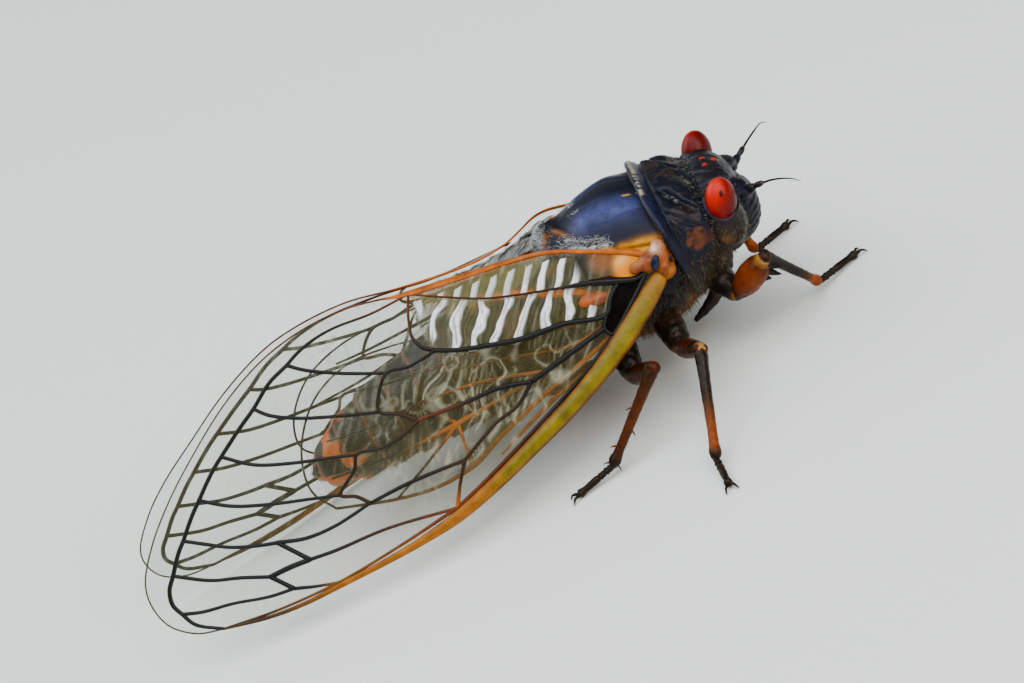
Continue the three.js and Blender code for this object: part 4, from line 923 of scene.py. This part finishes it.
# The crests painted near white: painted glare.
paint(lobe_tint, "#f2f6fa", glare_crests * (1 - 0.35 * np.clip(band, 0, 1)))
lace = ease(noise(flat * [1.4, 1.4, 1], 0.22, 72), 0.3, 0.6)
hide(lobe_tint, (0.7 + 0.27 * lace) * glare_crests)
for side, word in BOTH:
    wing = wing_sheet("hindwing_film_" + word, *hind_st, hind_out, side, hind_tint, folded_film)
    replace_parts(wing, "hindwing_" + word)
    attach(wing, "root")
    veins = wing_tubes("hindwing_veins_" + word, HIND_VEINS, side, HIND_VEINS_OUT)
    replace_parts(veins, "hindwing_" + word)
    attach(veins, "root")
    lobe = wing_sheet("hindwing_lobe_" + word, s, t, lobe_out, side, lobe_tint, folded_film)
    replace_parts(lobe, "hindwing_" + word)
    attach(lobe, "root")

    # The orange blob of soft hinge skin seen through the film at the root of the lobe
    blob, sphere = ball(32, 20)
    x, y, z = ((1 + 0.5 * (noise(sphere, 0.9, 74) - 0.5))[:, None] * sphere).T
    at = wing_point(4.4 + x * 0.8, 0.62 + y * 0.46 + x * 0.2, -0.36 + z * 0.26, side)
    tint = painted((len(sphere),), "#a04402", 0.38)
    paint(tint, "#5c1e02", ease(-sphere[:, 1] - 0.4 * sphere[:, 0], -0.1, 0.5) * 0.8)
    dressed(blob, "hindwing_root_" + word, at, tint, vein_chitin, side)
    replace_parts(blob, "hindwing_" + word)
    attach(blob, "root")

# Head
# The head is one hard capsule: a wide crown between the eyes, a swollen ribbed face in front, cheeks
# and chin below. Its lobes were modelled apart, fused into one skin, then creased and pitted.
EYE_AT, EYE_SIZE = (9.13, 3.83, 8.26), (0.86, 0.97, 1.26)


def eye_turn(side):
    """How an eye is turned on its side of the head."""
    return np.array(Matrix.Rotation(0.38, 3, "Y") @ Matrix.Rotation(-0.18 * side, 3, "X"))


def mirrored(v, side):
    """A place or half turn given for the left side, on either side."""
    return (v[0], v[1] * side, v[2])


lobes = [((8.9, 0, 7.75), (1.5, 3.95, 1.45), STRAIGHT), ((9.1, 0, 6.15), (1.85, 1.75, 2.15), (0, 0.12, 0)),
         ((8.5, 0, 5.7), (1.35, 2.35, 1.55), STRAIGHT), ((8.45, 0, 4.6), (0.9, 0.85, 0.85), STRAIGHT),
         ((9.0, 0, 8.5), (0.95, 1.15, 0.62), STRAIGHT)]
for side in (1, -1):
    lobes += [((8.75, 3.3 * side, 7.1), (1.15, 1.15, 1.7), STRAIGHT),
              ((10.05, 1.95 * side, 7.75), (0.75, 0.85, 0.42), (0, 0.35, 0.3 * side)),
              ((10.3, 2.1 * side, 7.3), (0.5, 0.5, 0.5), STRAIGHT)]
head = fused(lobes, 5, 0.075, 9)
co, no = corners(head)
X, Y, Z = co.T
face = ease(X, 9.3, 9.9) * ease(-np.abs(Y), -1.6, -1.25) * ease(Z, 4.3, 4.8) * (1 - ease(Z, 7.3, 7.7))
rib = np.cos((Z + 0.25 * np.abs(Y)) * 2 * math.pi / 0.42) * ease(np.abs(Y), 0.15, 0.4)
out = -0.035 * face * (1 - rib)
crown = ease(no[:, 2], 0.2, 0.6)
out -= 0.13 * bump(Y, 0, 0.1) * bump(X, 8.1, 0.8) * crown
for side in (1, -1):
    line = np.abs((Y - side * 1.25) + 0.9 * (X - 9.1))
    out -= 0.12 * np.exp(-((line / 0.12) ** 2)) * crown * bump(X, 9.0, 0.9)
    out -= 0.1 * np.exp(-(((Y - side * 2.4) / 0.14) ** 2)) * bump(X, 8.9, 1.1) * crown
    eye_far = np.linalg.norm((co - mirrored(EYE_AT, side)) @ eye_turn(side) / EYE_SIZE, axis=1)
    out += 0.09 * np.exp(-(((eye_far - 1.09) / 0.08) ** 2))
out += (noise(co, 0.28, 71) - 0.5) * 0.05 + (noise(co, 0.12, 72) - 0.5) * 0.02
co = co + no * out[:, None]
tint = painted((len(co),), "#08080c", 0.42)
paint(tint, "#191512", ease(noise(co, 0.5, 73), 0.45, 0.7) * 0.7, 0.4)
paint(tint, "#1e1408", ease(np.abs(Y), 3.0, 3.8) * (1 - ease(Z, 7.2, 7.9)) * 0.8, 0.45)
paint(tint, "#2c1808", face * ease(rib, 0.5, 1.0) * 0.5)
paint(tint, "#6b4519", bump(np.hypot(X - 8.2, Z - 6.0), 0, 0.6) * ease(np.abs(Y), 2.4, 3.2) * 0.8)
dressed(head, "head_capsule", placed(co), tint, chitin)
head.data.update()
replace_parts(head, "head")
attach(head, "root")

# Eyes
# The two compound eyes are domes of thousands of clear lenses over red pigment, set in black rims.
# Three small simple eyes sit on the crown. All were grown as clear chitin, glossy like glass beads.

# Lens chitin: clear and wet-looking over the pigment, its lenses drawn a twentieth of a millimetre
# wide, a little coarser than real ones, so that they show
lens_chitin = bpy.data.materials.new("lens_chitin")
lens_chitin.use_nodes = True
tree = lens_chitin.node_tree
place = add(tree, "TexCoord").outputs["Object"]
facets = add(tree, "TexVoronoi", {"Vector": place, "Scale": 21 * PER_MM})
relief = add(tree, "Bump", {"Height": facets.outputs["Distance"], "Strength": 0.25, "Distance": 0.000006},
             invert=True)
feed(tree, {"Base Color": add(tree, "Attribute", attribute_name="tint").outputs["Color"],
            "Normal": relief.outputs["Normal"], "Roughness": 0.4, "Specular IOR Level": 0.1,
            "Coat Weight": 0.07, "Coat Roughness": 0.08})
for side, word in BOTH:
    eye, sphere = ball(128, 80)
    body = (sphere * EYE_SIZE) @ eye_turn(side).T + mirrored(EYE_AT, side)
    normal = unit((sphere / EYE_SIZE) @ eye_turn(side).T)
    seen = normal @ np.array([0.077, 0.924 * side, 0.375])
    tint = painted((len(sphere),), "#700100", 0.3)
    # Lighter orange on the top of the eye and darker red underneath: a painted highlight and painted shade.
    # Darker also where the eye turns away from the camera.
    paint(tint, "#b41600", ease(normal @ np.array([-0.35, 0.4 * side, 0.85]), 0.3, 0.95))
    paint(tint, "#3a0200", ease(normal @ np.array([0.55, 0.1 * side, -0.83]), 0.1, 0.85) * 0.9)
    paint(tint, "#3a0200", (1 - ease(seen, 0.1, 0.5)) * 0.7)
    paint(tint, "#120000", ease(seen, 0.984, 0.993) * 0.9)
    dressed(eye, "compound_eye_" + word, placed(body), tint, lens_chitin)
    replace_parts(eye, "eye_" + word)
    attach(eye, "root")
beads = []
for at in ((9.78, 0, 8.9), (9.25, 0.5, 9.06), (9.25, -0.5, 9.06)):
    bead, sphere = ball(32, 20)
    tint = painted((len(sphere),), "#8c1602", 0.3)
    beads.append(dressed(bead, "simple_eyes", placed(sphere * 0.17 + at), tint, lens_chitin))
simple = joined(beads)
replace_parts(simple, "head")
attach(simple, "root")

# Feelers, beak and belly plates
# Each feeler is two stout joints and a fine bristle. The beak is a jointed sheath folded back under
# the body, and the two belly plates are loose flaps of chitin that cover the singing organs.
def limb(keys, tone, sides, seed, rough=0.03, flat=1.0, up=(0.0, 0.0, 1.0)):
    """The rings of a tube through (x, y, z, radius) keys in mm, and their painted tint.
    tone lists (place from 0 to 1, colour, roughness); the tube is flat by a share across up."""
    line = drawn(keys, 0.07, 3)
    middle, radius = line[:, :3], np.maximum(line[:, 3], 0.004)
    run = unit(np.gradient(middle, axis=0))
    far = np.concatenate([[0], np.cumsum(np.linalg.norm(np.diff(middle, axis=0), axis=1))])
    across = unit(np.cross(run, np.array(up) + 1e-3))
    over = np.cross(across, run)
    turn = around(sides)[None, :, None]
    shell = np.cos(turn) * across[:, None] * flat + np.sin(turn) * over[:, None]
    grid = middle[:, None] + shell * radius[:, None, None]
    out = (noise(grid, 0.2, 80 + seed) - 0.5) * rough * 2
    grid = middle[:, None] + shell * (radius[:, None] + out)[..., None]
    values = np.array([[*linear(c), r] for _, c, r in tone])
    colour = np.stack([np.interp(far / far[-1], [p for p, _, _ in tone], values[:, i]) for i in range(4)], -1)
    tint = np.repeat(colour[:, None], sides, 1)
    tint[..., :3] *= 0.72 + 0.5 * noise(grid, 0.16, 90 + seed)[..., None]
    if np.linalg.det(np.stack([across[0], over[0], run[0]])) < 0:
        grid, tint = grid[:, ::-1], tint[:, ::-1]
    return grid, tint


def limbs(name, parts, material, placing):
    """Several limbs as one mesh object, placed in the frame."""
    return tubes(name, [(placing(grid), tint) for grid, tint in parts], material)


FEELER_JOINTS = [
    ([(-0.15, -0.05, -0.02, 0.2), (0.1, 0.05, 0.03, 0.24), (0.42, 0.27, 0.1, 0.2), (0.5, 0.32, 0.11, 0.12)],
     [(0, "#0d0b0b", 0.3), (1, "#17110d", 0.3)], 20, 1, 0.03),
    ([(0.42, 0.27, 0.1, 0.11), (0.6, 0.38, 0.13, 0.16), (0.9, 0.6, 0.14, 0.13), (0.98, 0.66, 0.14, 0.07)],
     [(0, "#1a130d", 0.3), (0.8, "#15100d", 0.3), (1, "#5a4020", 0.3)], 20, 2, 0.03),
    ([(0.94, 0.64, 0.14, 0.07), (1.4, 0.95, 0.1, 0.06), (1.9, 1.3, -0.06, 0.05), (2.4, 1.66, -0.36, 0.034),
      (2.75, 1.95, -0.62, 0.018)],
     [(0, "#0d0b0b", 0.35), (0.8, "#14110f", 0.35), (1, "#6b665c", 0.4)], 12, 3, 0.004),
]
for side, word in BOTH:
    base = np.array([10.55, 2.2 * side, 7.25])
    raised = 0.95 if side > 0 else 0.3
    parts = []
    for keys, tone, sides, seed, rough in FEELER_JOINTS:
        keys = [(*(base + (x, y * side, z + raised * min(1, x / 2.4) ** 2)), r) for x, y, z, r in keys]
        parts.append(limb(keys, tone, sides, seed, rough))
    feeler_piece = limbs("feeler_" + word, parts, chitin, placed)
    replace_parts(feeler_piece, "antenna_" + word)
    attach(feeler_piece, "root")

    plate, sphere = ball(64, 40)
    turned = Matrix.Rotation(side * 0.1, 3, "Z") @ Matrix.Rotation(-0.06, 3, "Y")
    turned = turned @ Matrix.Rotation(side * 0.35, 3, "X")
    body = (sphere * (1.88, 1.28, 0.46)) @ np.array(turned).T + (-2.7, 1.75 * side, 2.78)
    tint = painted((len(sphere),), "#9a4408", 0.4)
    paint(tint, "#3a1f10", ease(np.hypot(sphere[:, 0], sphere[:, 1]), 0.75, 1.0) * 0.7)
    paint(tint, "#e0a050", ease(noise(body, 0.6, 77), 0.5, 0.8) * 0.4)
    dressed(plate, "belly_plate_" + word, placed(body), tint, chitin)
    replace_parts(plate, "operculum_" + word)
    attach(plate, "root")

parts = [
    limb([(8.0, 0, 4.45, 0.5), (7.6, 0, 3.9, 0.56), (7.3, 0, 3.25, 0.5), (7.0, 0, 2.9, 0.34)],
         [(0, "#120e0c", 0.35), (1, "#3a2412", 0.35)], 32, 4, 0.03, 0.9, (1, 0, 0.3)),
    limb([(7.1, 0, 3.0, 0.3), (6.7, 0, 2.6, 0.42), (6.0, 0, 2.0, 0.38), (5.2, 0, 1.6, 0.27),
          (4.4, 0, 1.3, 0.13)],
         [(0, "#4a2c12", 0.35), (0.6, "#2a1a0e", 0.3), (1, "#0d0b0b", 0.3)], 32, 5, 0.03, 0.9, (1, 0, 1)),
]
beak = limbs("beak_sheath", parts, chitin, placed)
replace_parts(beak, "beak")
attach(beak, "root")

# Legs
# Six jointed legs of chitin tubes: hip, thigh, shin and a three-jointed foot with two claws. The front
# thighs are swollen and red, with black teeth below. Pale soft skin shows at the knees.
LEGS = {
    "front_right": ((6.6, -2.1, 4.2), (7.3, -3.1, 3.2), (9.6, -4.5, 5.1), (11.35, -1.9, 0.6), (14.0, -0.5)),
    "front_left": ((6.6, 2.1, 4.2), (7.0, 3.3, 3.0), (8.6, 5.4, 4.9), (9.1, 4.8, 0.6), (11.5, 6.3)),
    "middle_right": ((3.2, -2.3, 3.4), (3.2, -4.0, 2.6), (4.2, -7.9, 4.1), (2.1, -12.6, 0.6), (2.1, -15.1)),
    "middle_left": ((3.2, 2.3, 3.4), (3.2, 4.0, 2.4), (4.4, 7.8, 4.0), (3.3, 12.3, 0.6), (2.8, 14.7)),
    "hind_right": ((0.4, -2.2, 3.6), (0.2, -3.9, 2.5), (1.5, -7.0, 4.1), (-3.1, -7.8, 0.6), (-5.6, -8.0)),
    "hind_left": ((0.4, 2.2, 3.6), (0.2, 3.9, 1.8), (0.9, 7.5, 2.3), (-4.2, 8.9, 0.6), (-6.8, 9.3)),
}

# Leg chitin: brown and red, without the blue sheen of the back
leg_chitin = vein_chitin.copy()
leg_chitin.name = "leg_chitin"
feed(leg_chitin.node_tree, {"Coat Weight": 0.03, "Specular Tint": (1.0, 0.78, 0.55, 1)})

# For each kind of leg: how thick its parts are, as (share of the part's length, radius in mm), and the
# colours along them, as (share, colour, roughness)
HIP = ([(-0.15, 0.72), (0.25, 0.8), (0.7, 0.7), (1.0, 0.46), (1.12, 0.2)],
       [(0, "#3b2410", 0.45), (0.55, "#15100d", 0.35), (0.85, "#17100c", 0.32), (1, "#a8641c", 0.35)])
THIN_THIGH = ([(-0.12, 0.3), (0.08, 0.5), (0.35, 0.56), (0.7, 0.48), (0.92, 0.42), (1.02, 0.38),
               (1.08, 0.18)],
              [(0, "#1a0f0a", 0.34), (0.2, "#241006", 0.38), (0.5, "#3c1804", 0.38), (0.8, "#1c0e06", 0.36),
               (0.9, "#2a1206", 0.36), (0.96, "#7a4c20", 0.36), (1, "#8a6430", 0.4)])
THIGHS = {
    "front": ([(-0.1, 0.26), (0.06, 0.48), (0.28, 0.72), (0.55, 0.79), (0.76, 0.66), (0.9, 0.44),
               (1.03, 0.36), (1.1, 0.16)],
              [(0, "#0e0805", 0.36), (0.14, "#2e0c02", 0.42), (0.26, "#5e1e02", 0.42), (0.5, "#6c2804", 0.42),
               (0.68, "#602402", 0.42), (0.78, "#3a1604", 0.4), (0.85, "#7c4818", 0.38),
               (0.89, "#a07038", 0.38), (0.93, "#2a1006", 0.38), (1, "#140a06", 0.38)]),
    "middle": THIN_THIGH, "hind": THIN_THIGH,
}
SHIN_TONES = {
    "front": [(0, "#2c1206", 0.45), (0.06, "#100906", 0.5), (0.5, "#0a0705", 0.5), (0.7, "#241006", 0.42),
              (0.85, "#8a3a06", 0.38), (1, "#6a2a06", 0.38)],
    "middle": [(0, "#3a1c0c", 0.34), (0.06, "#0e0b0a", 0.26), (0.4, "#120c0a", 0.26), (0.52, "#3c1a06", 0.36),
               (0.7, "#7a3406", 0.38), (0.88, "#6a2c06", 0.38), (0.96, "#1e110a", 0.33), (1, "#0e0b0a", 0.3)],
    "hind": [(0, "#241006", 0.38), (0.1, "#2c1406", 0.35), (0.45, "#4a1e06", 0.36), (0.8, "#3c1806", 0.36),
             (0.92, "#1e110a", 0.33), (1, "#0e0b0a", 0.3)],
}
FOOT_TONE = [(0, "#1e120b", 0.34), (0.8, "#0d0b0a", 0.3), (1, "#2a180d", 0.34)]
CLAW_TONE = [(0, "#15100d", 0.28), (1, "#0a0808", 0.25)]
TOOTH_TONE = [(0, "#3a140a", 0.3), (0.3, "#0c0a0a", 0.25), (1, "#0a0808", 0.22)]
SPUR_TONE = [(0, "#6b3a16", 0.3), (1, "#1a100b", 0.25)]
# Heights above the floor in mm: the toe's joints, the lowest middle of a claw and its tip
TOE_Z, CLAW_Z, TIP_Z = 0.2, 0.2, 0.03
FOOT_CUTS = (0.0, 0.2, 0.36, 0.93)


def floored(p):
    """Millimetres square to the floor, measured from the body's origin, to frame coordinates in metres."""
    return (np.asarray(p) + ORIGIN) / 1000


def spanned(a, b, keys, shift=(0, 0, 0)):
    """Limb keys between two joints from (share of the way, radius) pairs."""
    return [(*(a + (b - a) * u + np.array(shift)), r) for u, r in keys]


shin_lines = {}
for name, (hip, bend, knee, ankle, toe) in LEGS.items():
    kind = name.split("_")[0]
    front = kind == "front"
    hip = placed(hip) * 1000 - ORIGIN
    bend, knee, ankle, toe = (np.array(p, float) for p in (bend, knee, ankle, (*toe, TOE_Z)))
    seed = sorted(LEGS).index(name) * 10
    thigh_run, shin_run, foot_run = unit(knee - bend), unit(ankle - knee), unit(toe - ankle)
    outward = unit(np.cross(shin_run, thigh_run))
    parts = [limb(spanned(hip, bend, HIP[0]), HIP[1], 32, seed, 0.06),
             limb(spanned(bend, knee, THIGHS[kind][0]), THIGHS[kind][1], 36, seed + 1, 0.02)]
    pin = [(*(knee + outward * by), r) for by, r in (
        (-0.4, 0.1), (-0.34, 0.22), (0, 0.34 if front else 0.36), (0.34, 0.22), (0.4, 0.1))]
    pin_tone = [(0, "#1a0d08", 0.4), (0.5, "#32140a" if front else "#4a1808", 0.38), (1, "#1a0d08", 0.4)]
    parts.append(limb(pin, pin_tone, 24, seed + 2, 0.01, 1.0, tuple(shin_run)))
    thick = 0.27 if front else 0.29
    shin = [(0.0, 0.32), (0.05, thick + 0.08), (0.16, thick + 0.04), (0.5, thick), (0.85, thick * 0.94),
            (0.95, thick + 0.05), (1.01, thick * 0.6)]
    parts.append(limb(spanned(knee, ankle, shin), SHIN_TONES[kind], 28, seed + 3, 0.014))
    shin_lines[name] = (knee, ankle, thick)
    # The foot: three joints, each swelling to its end, then two hooked claws
    for k, (a, b) in enumerate(zip(FOOT_CUTS, FOOT_CUTS[1:])):
        keys = [(a - 0.03, 0.08), (a + 0.02, 0.18), (a * 0.3 + b * 0.7, 0.19), (b - 0.02, 0.23),
                (b + 0.02, 0.08)]
        parts.append(limb(spanned(ankle, toe, keys, (0, 0, 0.02)), FOOT_TONE, 20, seed + 4 + k, 0.008))
    spread = unit(np.cross(foot_run, (0, 0, 1.0)))
    flat_run = unit(foot_run * (1, 1, 0))
    for sign in (1, -1):
        root = ankle + (toe - ankle) * FOOT_CUTS[-1] + spread * sign * 0.07
        mid = root + flat_run * 0.3 + spread * sign * 0.18 + np.array([0, 0, 0.06])
        end = root + flat_run * 0.52 + spread * sign * 0.3
        mid[2], end[2] = max(mid[2], CLAW_Z), TIP_Z
        parts.append(limb([(*root, 0.1), (*(root * 0.5 + mid * 0.5 + (0, 0, 0.03)), 0.09), (*mid, 0.07),
                           (*(mid * 0.4 + end * 0.6 + (0, 0, 0.03)), 0.05), (*end, 0.015)],
                          CLAW_TONE, 14, seed + 7, 0.002))
    # Teeth under the front thigh, spurs along the hind shin
    if front:
        below = unit(np.cross(outward, thigh_run))
        below = -below if below[2] > 0 else below
        below = unit(below + outward * (0.45 if name.endswith("right") else -0.45))
        for u, sunk, tall in ((0.55, 0.6, 0.5), (0.71, 0.5, 0.95), (0.86, 0.32, 0.9)):
            root = bend + (knee - bend) * u + below * sunk
            parts.append(limb([(*(root + below * tall * high + thigh_run * ahead), r) for high, ahead, r in (
                (0, 0, 0.26), (0.45, 0, 0.18), (0.85, 0.06, 0.07), (1, 0.1, 0.01))],
                TOOTH_TONE, 18, seed + 8, 0.004))
    if kind == "hind":
        for u, sign in ((0.42, 1), (0.62, -1), (0.8, 1), (0.97, -1), (0.97, 1)):
            root = knee + (ankle - knee) * u + outward * sign * 0.2
            parts.append(limb([(*root, 0.07), (*(root + outward * sign * 0.2 + shin_run * 0.12), 0.045),
                               (*(root + outward * sign * 0.34 + shin_run * 0.26), 0.008)],
                              SPUR_TONE, 12, seed + 9, 0.002))
    leg = limbs("leg_" + name, parts, leg_chitin, floored)
    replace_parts(leg, "femur_" + name, "tibia_" + name, "tarsus_" + name)
    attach(leg, "root")

# Hairs
# Fine stiff hairs stand in the chitin: silver ones behind the eyes and at the wing roots, golden
# ones on the sides and belly, dark fringes on the shins. Each is a thin bent cone.

# Hair chitin: half matt, so that silver, golden and dark hairs each show their colour
hair_chitin = bpy.data.materials.new("hair_chitin")
hair_chitin.use_nodes = True
tree = hair_chitin.node_tree
feed(tree, {"Base Color": add(tree, "Attribute", attribute_name="tint").outputs["Color"], "Roughness": 0.42})


# A hair has seven corners: three at its foot, three at its bend and its tip. These are its triangles,
# and the places of its corners in the bake map
HAIR_SIDES = [(0, 1, 4), (0, 4, 3), (1, 2, 5), (1, 5, 4), (2, 0, 3), (2, 3, 5), (3, 4, 6), (4, 5, 6),
              (5, 3, 6), (0, 2, 1)]
HAIR_PATCH = [(0, 0), (0.001, 0), (0.0005, 0.001), (0, 0.0015), (0.001, 0.0015), (0.0005, 0.002),
              (0.0005, 0.003)]
SUNK = 0.00003


def coat(name, roots, normals, unwrap, length, codes, sweep, seed, thick=0.01, body_slot="black_cuticle"):
    """A coat of bent three-sided cones in frame metres, each with a small patch of UV at its root."""
    rng = np.random.default_rng(seed)
    count = len(roots)
    lengths = length / 1000 * rng.uniform(0.6, 1.2, count)[:, None]
    heading = unit(normals + np.asarray(sweep) + rng.normal(0, 0.22, (count, 3)))
    bent = unit(heading + np.asarray(sweep) * 0.8 + rng.normal(0, 0.18, (count, 3)))
    across = unit(np.cross(heading, rng.normal(0, 1, (count, 3))))
    third = np.cross(heading, across)
    foot = roots - normals * SUNK
    middle = foot + heading * lengths * 0.5
    tip = middle + bent * lengths * 0.5
    rings = []
    for centre, wide in ((foot, thick), (middle, thick * 0.75)):
        for a in around(3):
            rings.append(centre + (across * math.cos(a) + third * math.sin(a)) * wide / 1000)
    points = np.stack([*rings, tip], 1).reshape(-1, 3)
    base = np.arange(count)[:, None] * 7
    faces = (base[:, None] + np.array(HAIR_SIDES)[None]).reshape(-1, 3)
    choice = np.array([linear(c) for c in codes])[rng.integers(0, len(codes), count)]
    tint = np.concatenate([choice, np.full((count, 1), 0.4)], 1)
    piece = mesh_piece(name, points, faces.tolist(), np.repeat(tint, 7, 0), hair_chitin)
    uv = (np.clip(unwrap, 0.01, 0.98)[:, None] + np.array(HAIR_PATCH)[None]).reshape(-1, 2)[faces.ravel()]
    piece.data.uv_layers.new(name="OFBake").data.foreach_set("uv", uv.ravel().astype(np.float32))
    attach(piece, "root")
    return piece


def picked(piece, weight, count, seed):
    """Corner places, directions and unwrap of a piece where a weight lets hairs grow."""
    co, no = corners(piece)
    rng = np.random.default_rng(seed)
    weight = np.clip(weight, 0, None)
    chosen = rng.choice(len(co), count, p=weight / weight.sum())
    spread = rng.normal(0, 0.00003, (count, 3))
    low, high = co.min(0), co.max(0)
    centre = (low + high) / 2
    turn = np.arctan2(co[:, 1] - centre[1], co[:, 2] - centre[2]) / (2 * math.pi) + 0.5
    unwrap = np.stack([(co[:, 0] - low[0]) / (high[0] - low[0]), turn], -1)
    return co[chosen] + spread, no[chosen], unwrap[chosen]


def in_body(co):
    """Frame metres back to body coordinates in mm."""
    p = co * 1000 - ORIGIN
    x, y, z = p.T
    return np.stack([x, y * math.cos(LEAN) - z * math.sin(LEAN), z * math.cos(LEAN) + y * math.sin(LEAN)], -1)


GOLDEN = ("#4a3c14", "#2c220c", "#7a6426", "#1c160a")
X, Y, Z = in_body(corners(head)[0]).T
behind = bump(X, 7.9, 0.55) * ease(np.abs(Y), 2.2, 3.0) * ease(Z, 6.4, 7.4)
beside = ease(np.abs(Y), 2.0, 2.8) * (1 - ease(Z, 6.8, 7.4))
over = ease(Z, 7.6, 8.2) * 0.5
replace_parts(coat("head_hairs_silver", *picked(head, behind + 0.08 * over, 480, 5), 0.22,
                 ("#6c6a62", "#3c3a34", "#8c8a82"), (0.05, 0, 0.1), 6), "head")
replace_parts(coat("head_hairs_gold", *picked(head, beside + 0.03, 1000, 7), 0.28,
                 ("#4a4020", "#2c2410", "#7a6c3a"), (-0.2, 0, -0.35), 8), "head")
X, Y, Z = in_body(corners(pronotum)[0]).T
flank = ease(-Z, -6.9, -5.6)
fore = bump(X, 8.2, 0.5) * ease(Z, 7.5, 8.2) + bump(X, 5.55, 0.2) * 0.3
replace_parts(coat("front_ring_hairs_gold", *picked(pronotum, flank + 0.01, 2100, 9), 0.36,
                 GOLDEN, (-0.25, 0, -0.3), 10), "prothorax")
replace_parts(coat("front_ring_hairs_silver", *picked(pronotum, fore + 0.03, 600, 11), 0.17,
                 ("#6a685e", "#34322c", "#84827a"), (0.2, 0, 0.1), 12), "prothorax")
X, Y, Z = in_body(corners(mesonotum)[0]).T
flank = ease(-Z, -6.4, -5.0)
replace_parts(coat("wing_ring_hairs_gold", *picked(mesonotum, flank, 3000, 13), 0.4,
                 GOLDEN, (-0.3, 0, -0.3), 14), "mesothorax")
turn_up = np.degrees(np.arctan2(Z - 7.6, np.abs(Y)))
tufts = (1.6 * stroke(X, turn_up, DUSTED, 0.17) + 1.2 * stroke(X, turn_up, dot(1.9, 78), 0.2)
         + 0.8 * bump(X, -0.5, 0.5) * ease(Z, 8.5, 9.5)
         + 0.3 * bump(X, 0.6, 0.5) * (turn_up > 25) * (turn_up < 62))
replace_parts(coat("wing_ring_hairs_silver", *picked(mesonotum, tufts, 2400, 15), 0.2,
                 ("#c8c8c4", "#aaaaa6", "#ecece6"), (-0.35, 0, 0.1), 16, 0.0075), "mesothorax")
X, Y, Z = in_body(corners(abdomen)[0]).T
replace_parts(coat("abdomen_hairs", *picked(abdomen, 0.25 + ease(-Z, -5.5, -4.0), 2600, 17), 0.22,
                 ("#4a453a", "#2a251c", "#7a705a"), (-0.6, 0, 0), 18), "abdomen")
SHIN_HAIRS = 80
for number, (name, (knee, ankle, thick)) in enumerate(shin_lines.items()):
    rng = np.random.default_rng(100 + number)
    u = rng.uniform(0.1, 0.98, SHIN_HAIRS)
    run = unit(ankle - knee)
    out = unit(np.cross(run, rng.normal(0, 1, (SHIN_HAIRS, 3))))
    roots = floored(knee + (ankle - knee) * u[:, None] + out * thick * 0.95)
    unwrap = np.stack([u, rng.uniform(0, 1, SHIN_HAIRS)], -1)
    fringe = coat("shin_hairs_" + name, roots, out, unwrap, 0.26, ("#22160a", "#120c06", "#3a2810"),
                  tuple(run * 0.9), 200 + number, 0.009, "banded_cuticle")
    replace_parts(fringe, "tibia_" + name)

# Floor, light and camera
# A plain pale floor carries the feet. Three large soft lamps, above, in front and behind, light the
# cicada like a bright sky, and the camera looks from where the photo was taken, a little above its
# right side.

# Painted board: matt and even, so that the feet and their shadows show
board = bpy.data.materials.new("painted_board")
board.use_nodes = True
feed(board.node_tree, {"Base Color": (*linear("#dfe2da"), 1), "Roughness": 0.75})
bpy.ops.mesh.primitive_plane_add(size=3, location=(0, 0, 0))
floor = bpy.context.object
floor.name = "floor"
floor.data.materials.append(board)

# The photo's camera: how far round, up and rolled it stood, how far away it is put here, and its scale.
# It looks at the photo's middle, so many pixels across and up from the near wing's hinge, in mm.
AZIMUTH, HEIGHT, ROLL = (math.radians(v) for v in (5.0, 28.0, 33.0))
AWAY, PIXELS_PER_MM, WING_HINGE = 0.25, 18.73, Vector((11.873, -3.672, 7.4425))
PIXELS_ACROSS, PIXELS_UP = -174.1, 18.28
back = Vector((math.sin(AZIMUTH) * math.cos(HEIGHT), -math.cos(AZIMUTH) * math.cos(HEIGHT),
               math.sin(HEIGHT)))
level = (-back).cross(Vector((0, 0, 1))).normalized()
upward = level.cross(-back)
target = (WING_HINGE + (level * PIXELS_ACROSS + upward * PIXELS_UP) / PIXELS_PER_MM) / 1000
right = level * math.cos(ROLL) - upward * math.sin(ROLL)
above = level * math.sin(ROLL) + upward * math.cos(ROLL)

for name, direction, far, wide, power, colour in (
    ("sky_lamp", (-0.05, -0.25, 1.0), 0.28, 0.38, 1.4, (0.9, 0.95, 1.0)),
    ("window_lamp", (0.75, -0.9, 0.8), 0.30, 0.24, 0.8, (1.0, 0.98, 0.94)),
    ("rear_lamp", (-0.9, 0.8, 0.9), 0.30, 0.26, 0.62, (0.92, 0.96, 1.0)),
):
    data = bpy.data.lights.new(name, "AREA")
    data.shape = "DISK"
    data.size = wide
    data.energy = power
    data.color = colour
    lamp = bpy.data.objects.new(name, data)
    towards = Vector(direction).normalized()
    facing = towards.to_track_quat("Z", "Y").to_matrix().to_4x4()
    lamp.matrix_world = Matrix.Translation(towards * far) @ facing
    bpy.context.collection.objects.link(lamp)

world = bpy.data.worlds.new("pale_sky")
bpy.context.scene.world = world
world.use_nodes = True
feed(world.node_tree, {"Color": (0.78, 0.86, 1.0, 1), "Strength": 0.22}, world.node_tree.nodes["Background"])

lens = bpy.data.cameras.new("photo_camera")
lens.sensor_width = 36
lens.lens = 164.56
lens.clip_start = 0.01
lens.clip_end = 10
camera = bpy.data.objects.new("photo_camera", lens)
turned = Matrix((right, above, back)).transposed().to_4x4()
camera.matrix_world = Matrix.Translation(target + back * AWAY) @ turned
bpy.context.collection.objects.link(camera)
bpy.context.scene.camera = camera
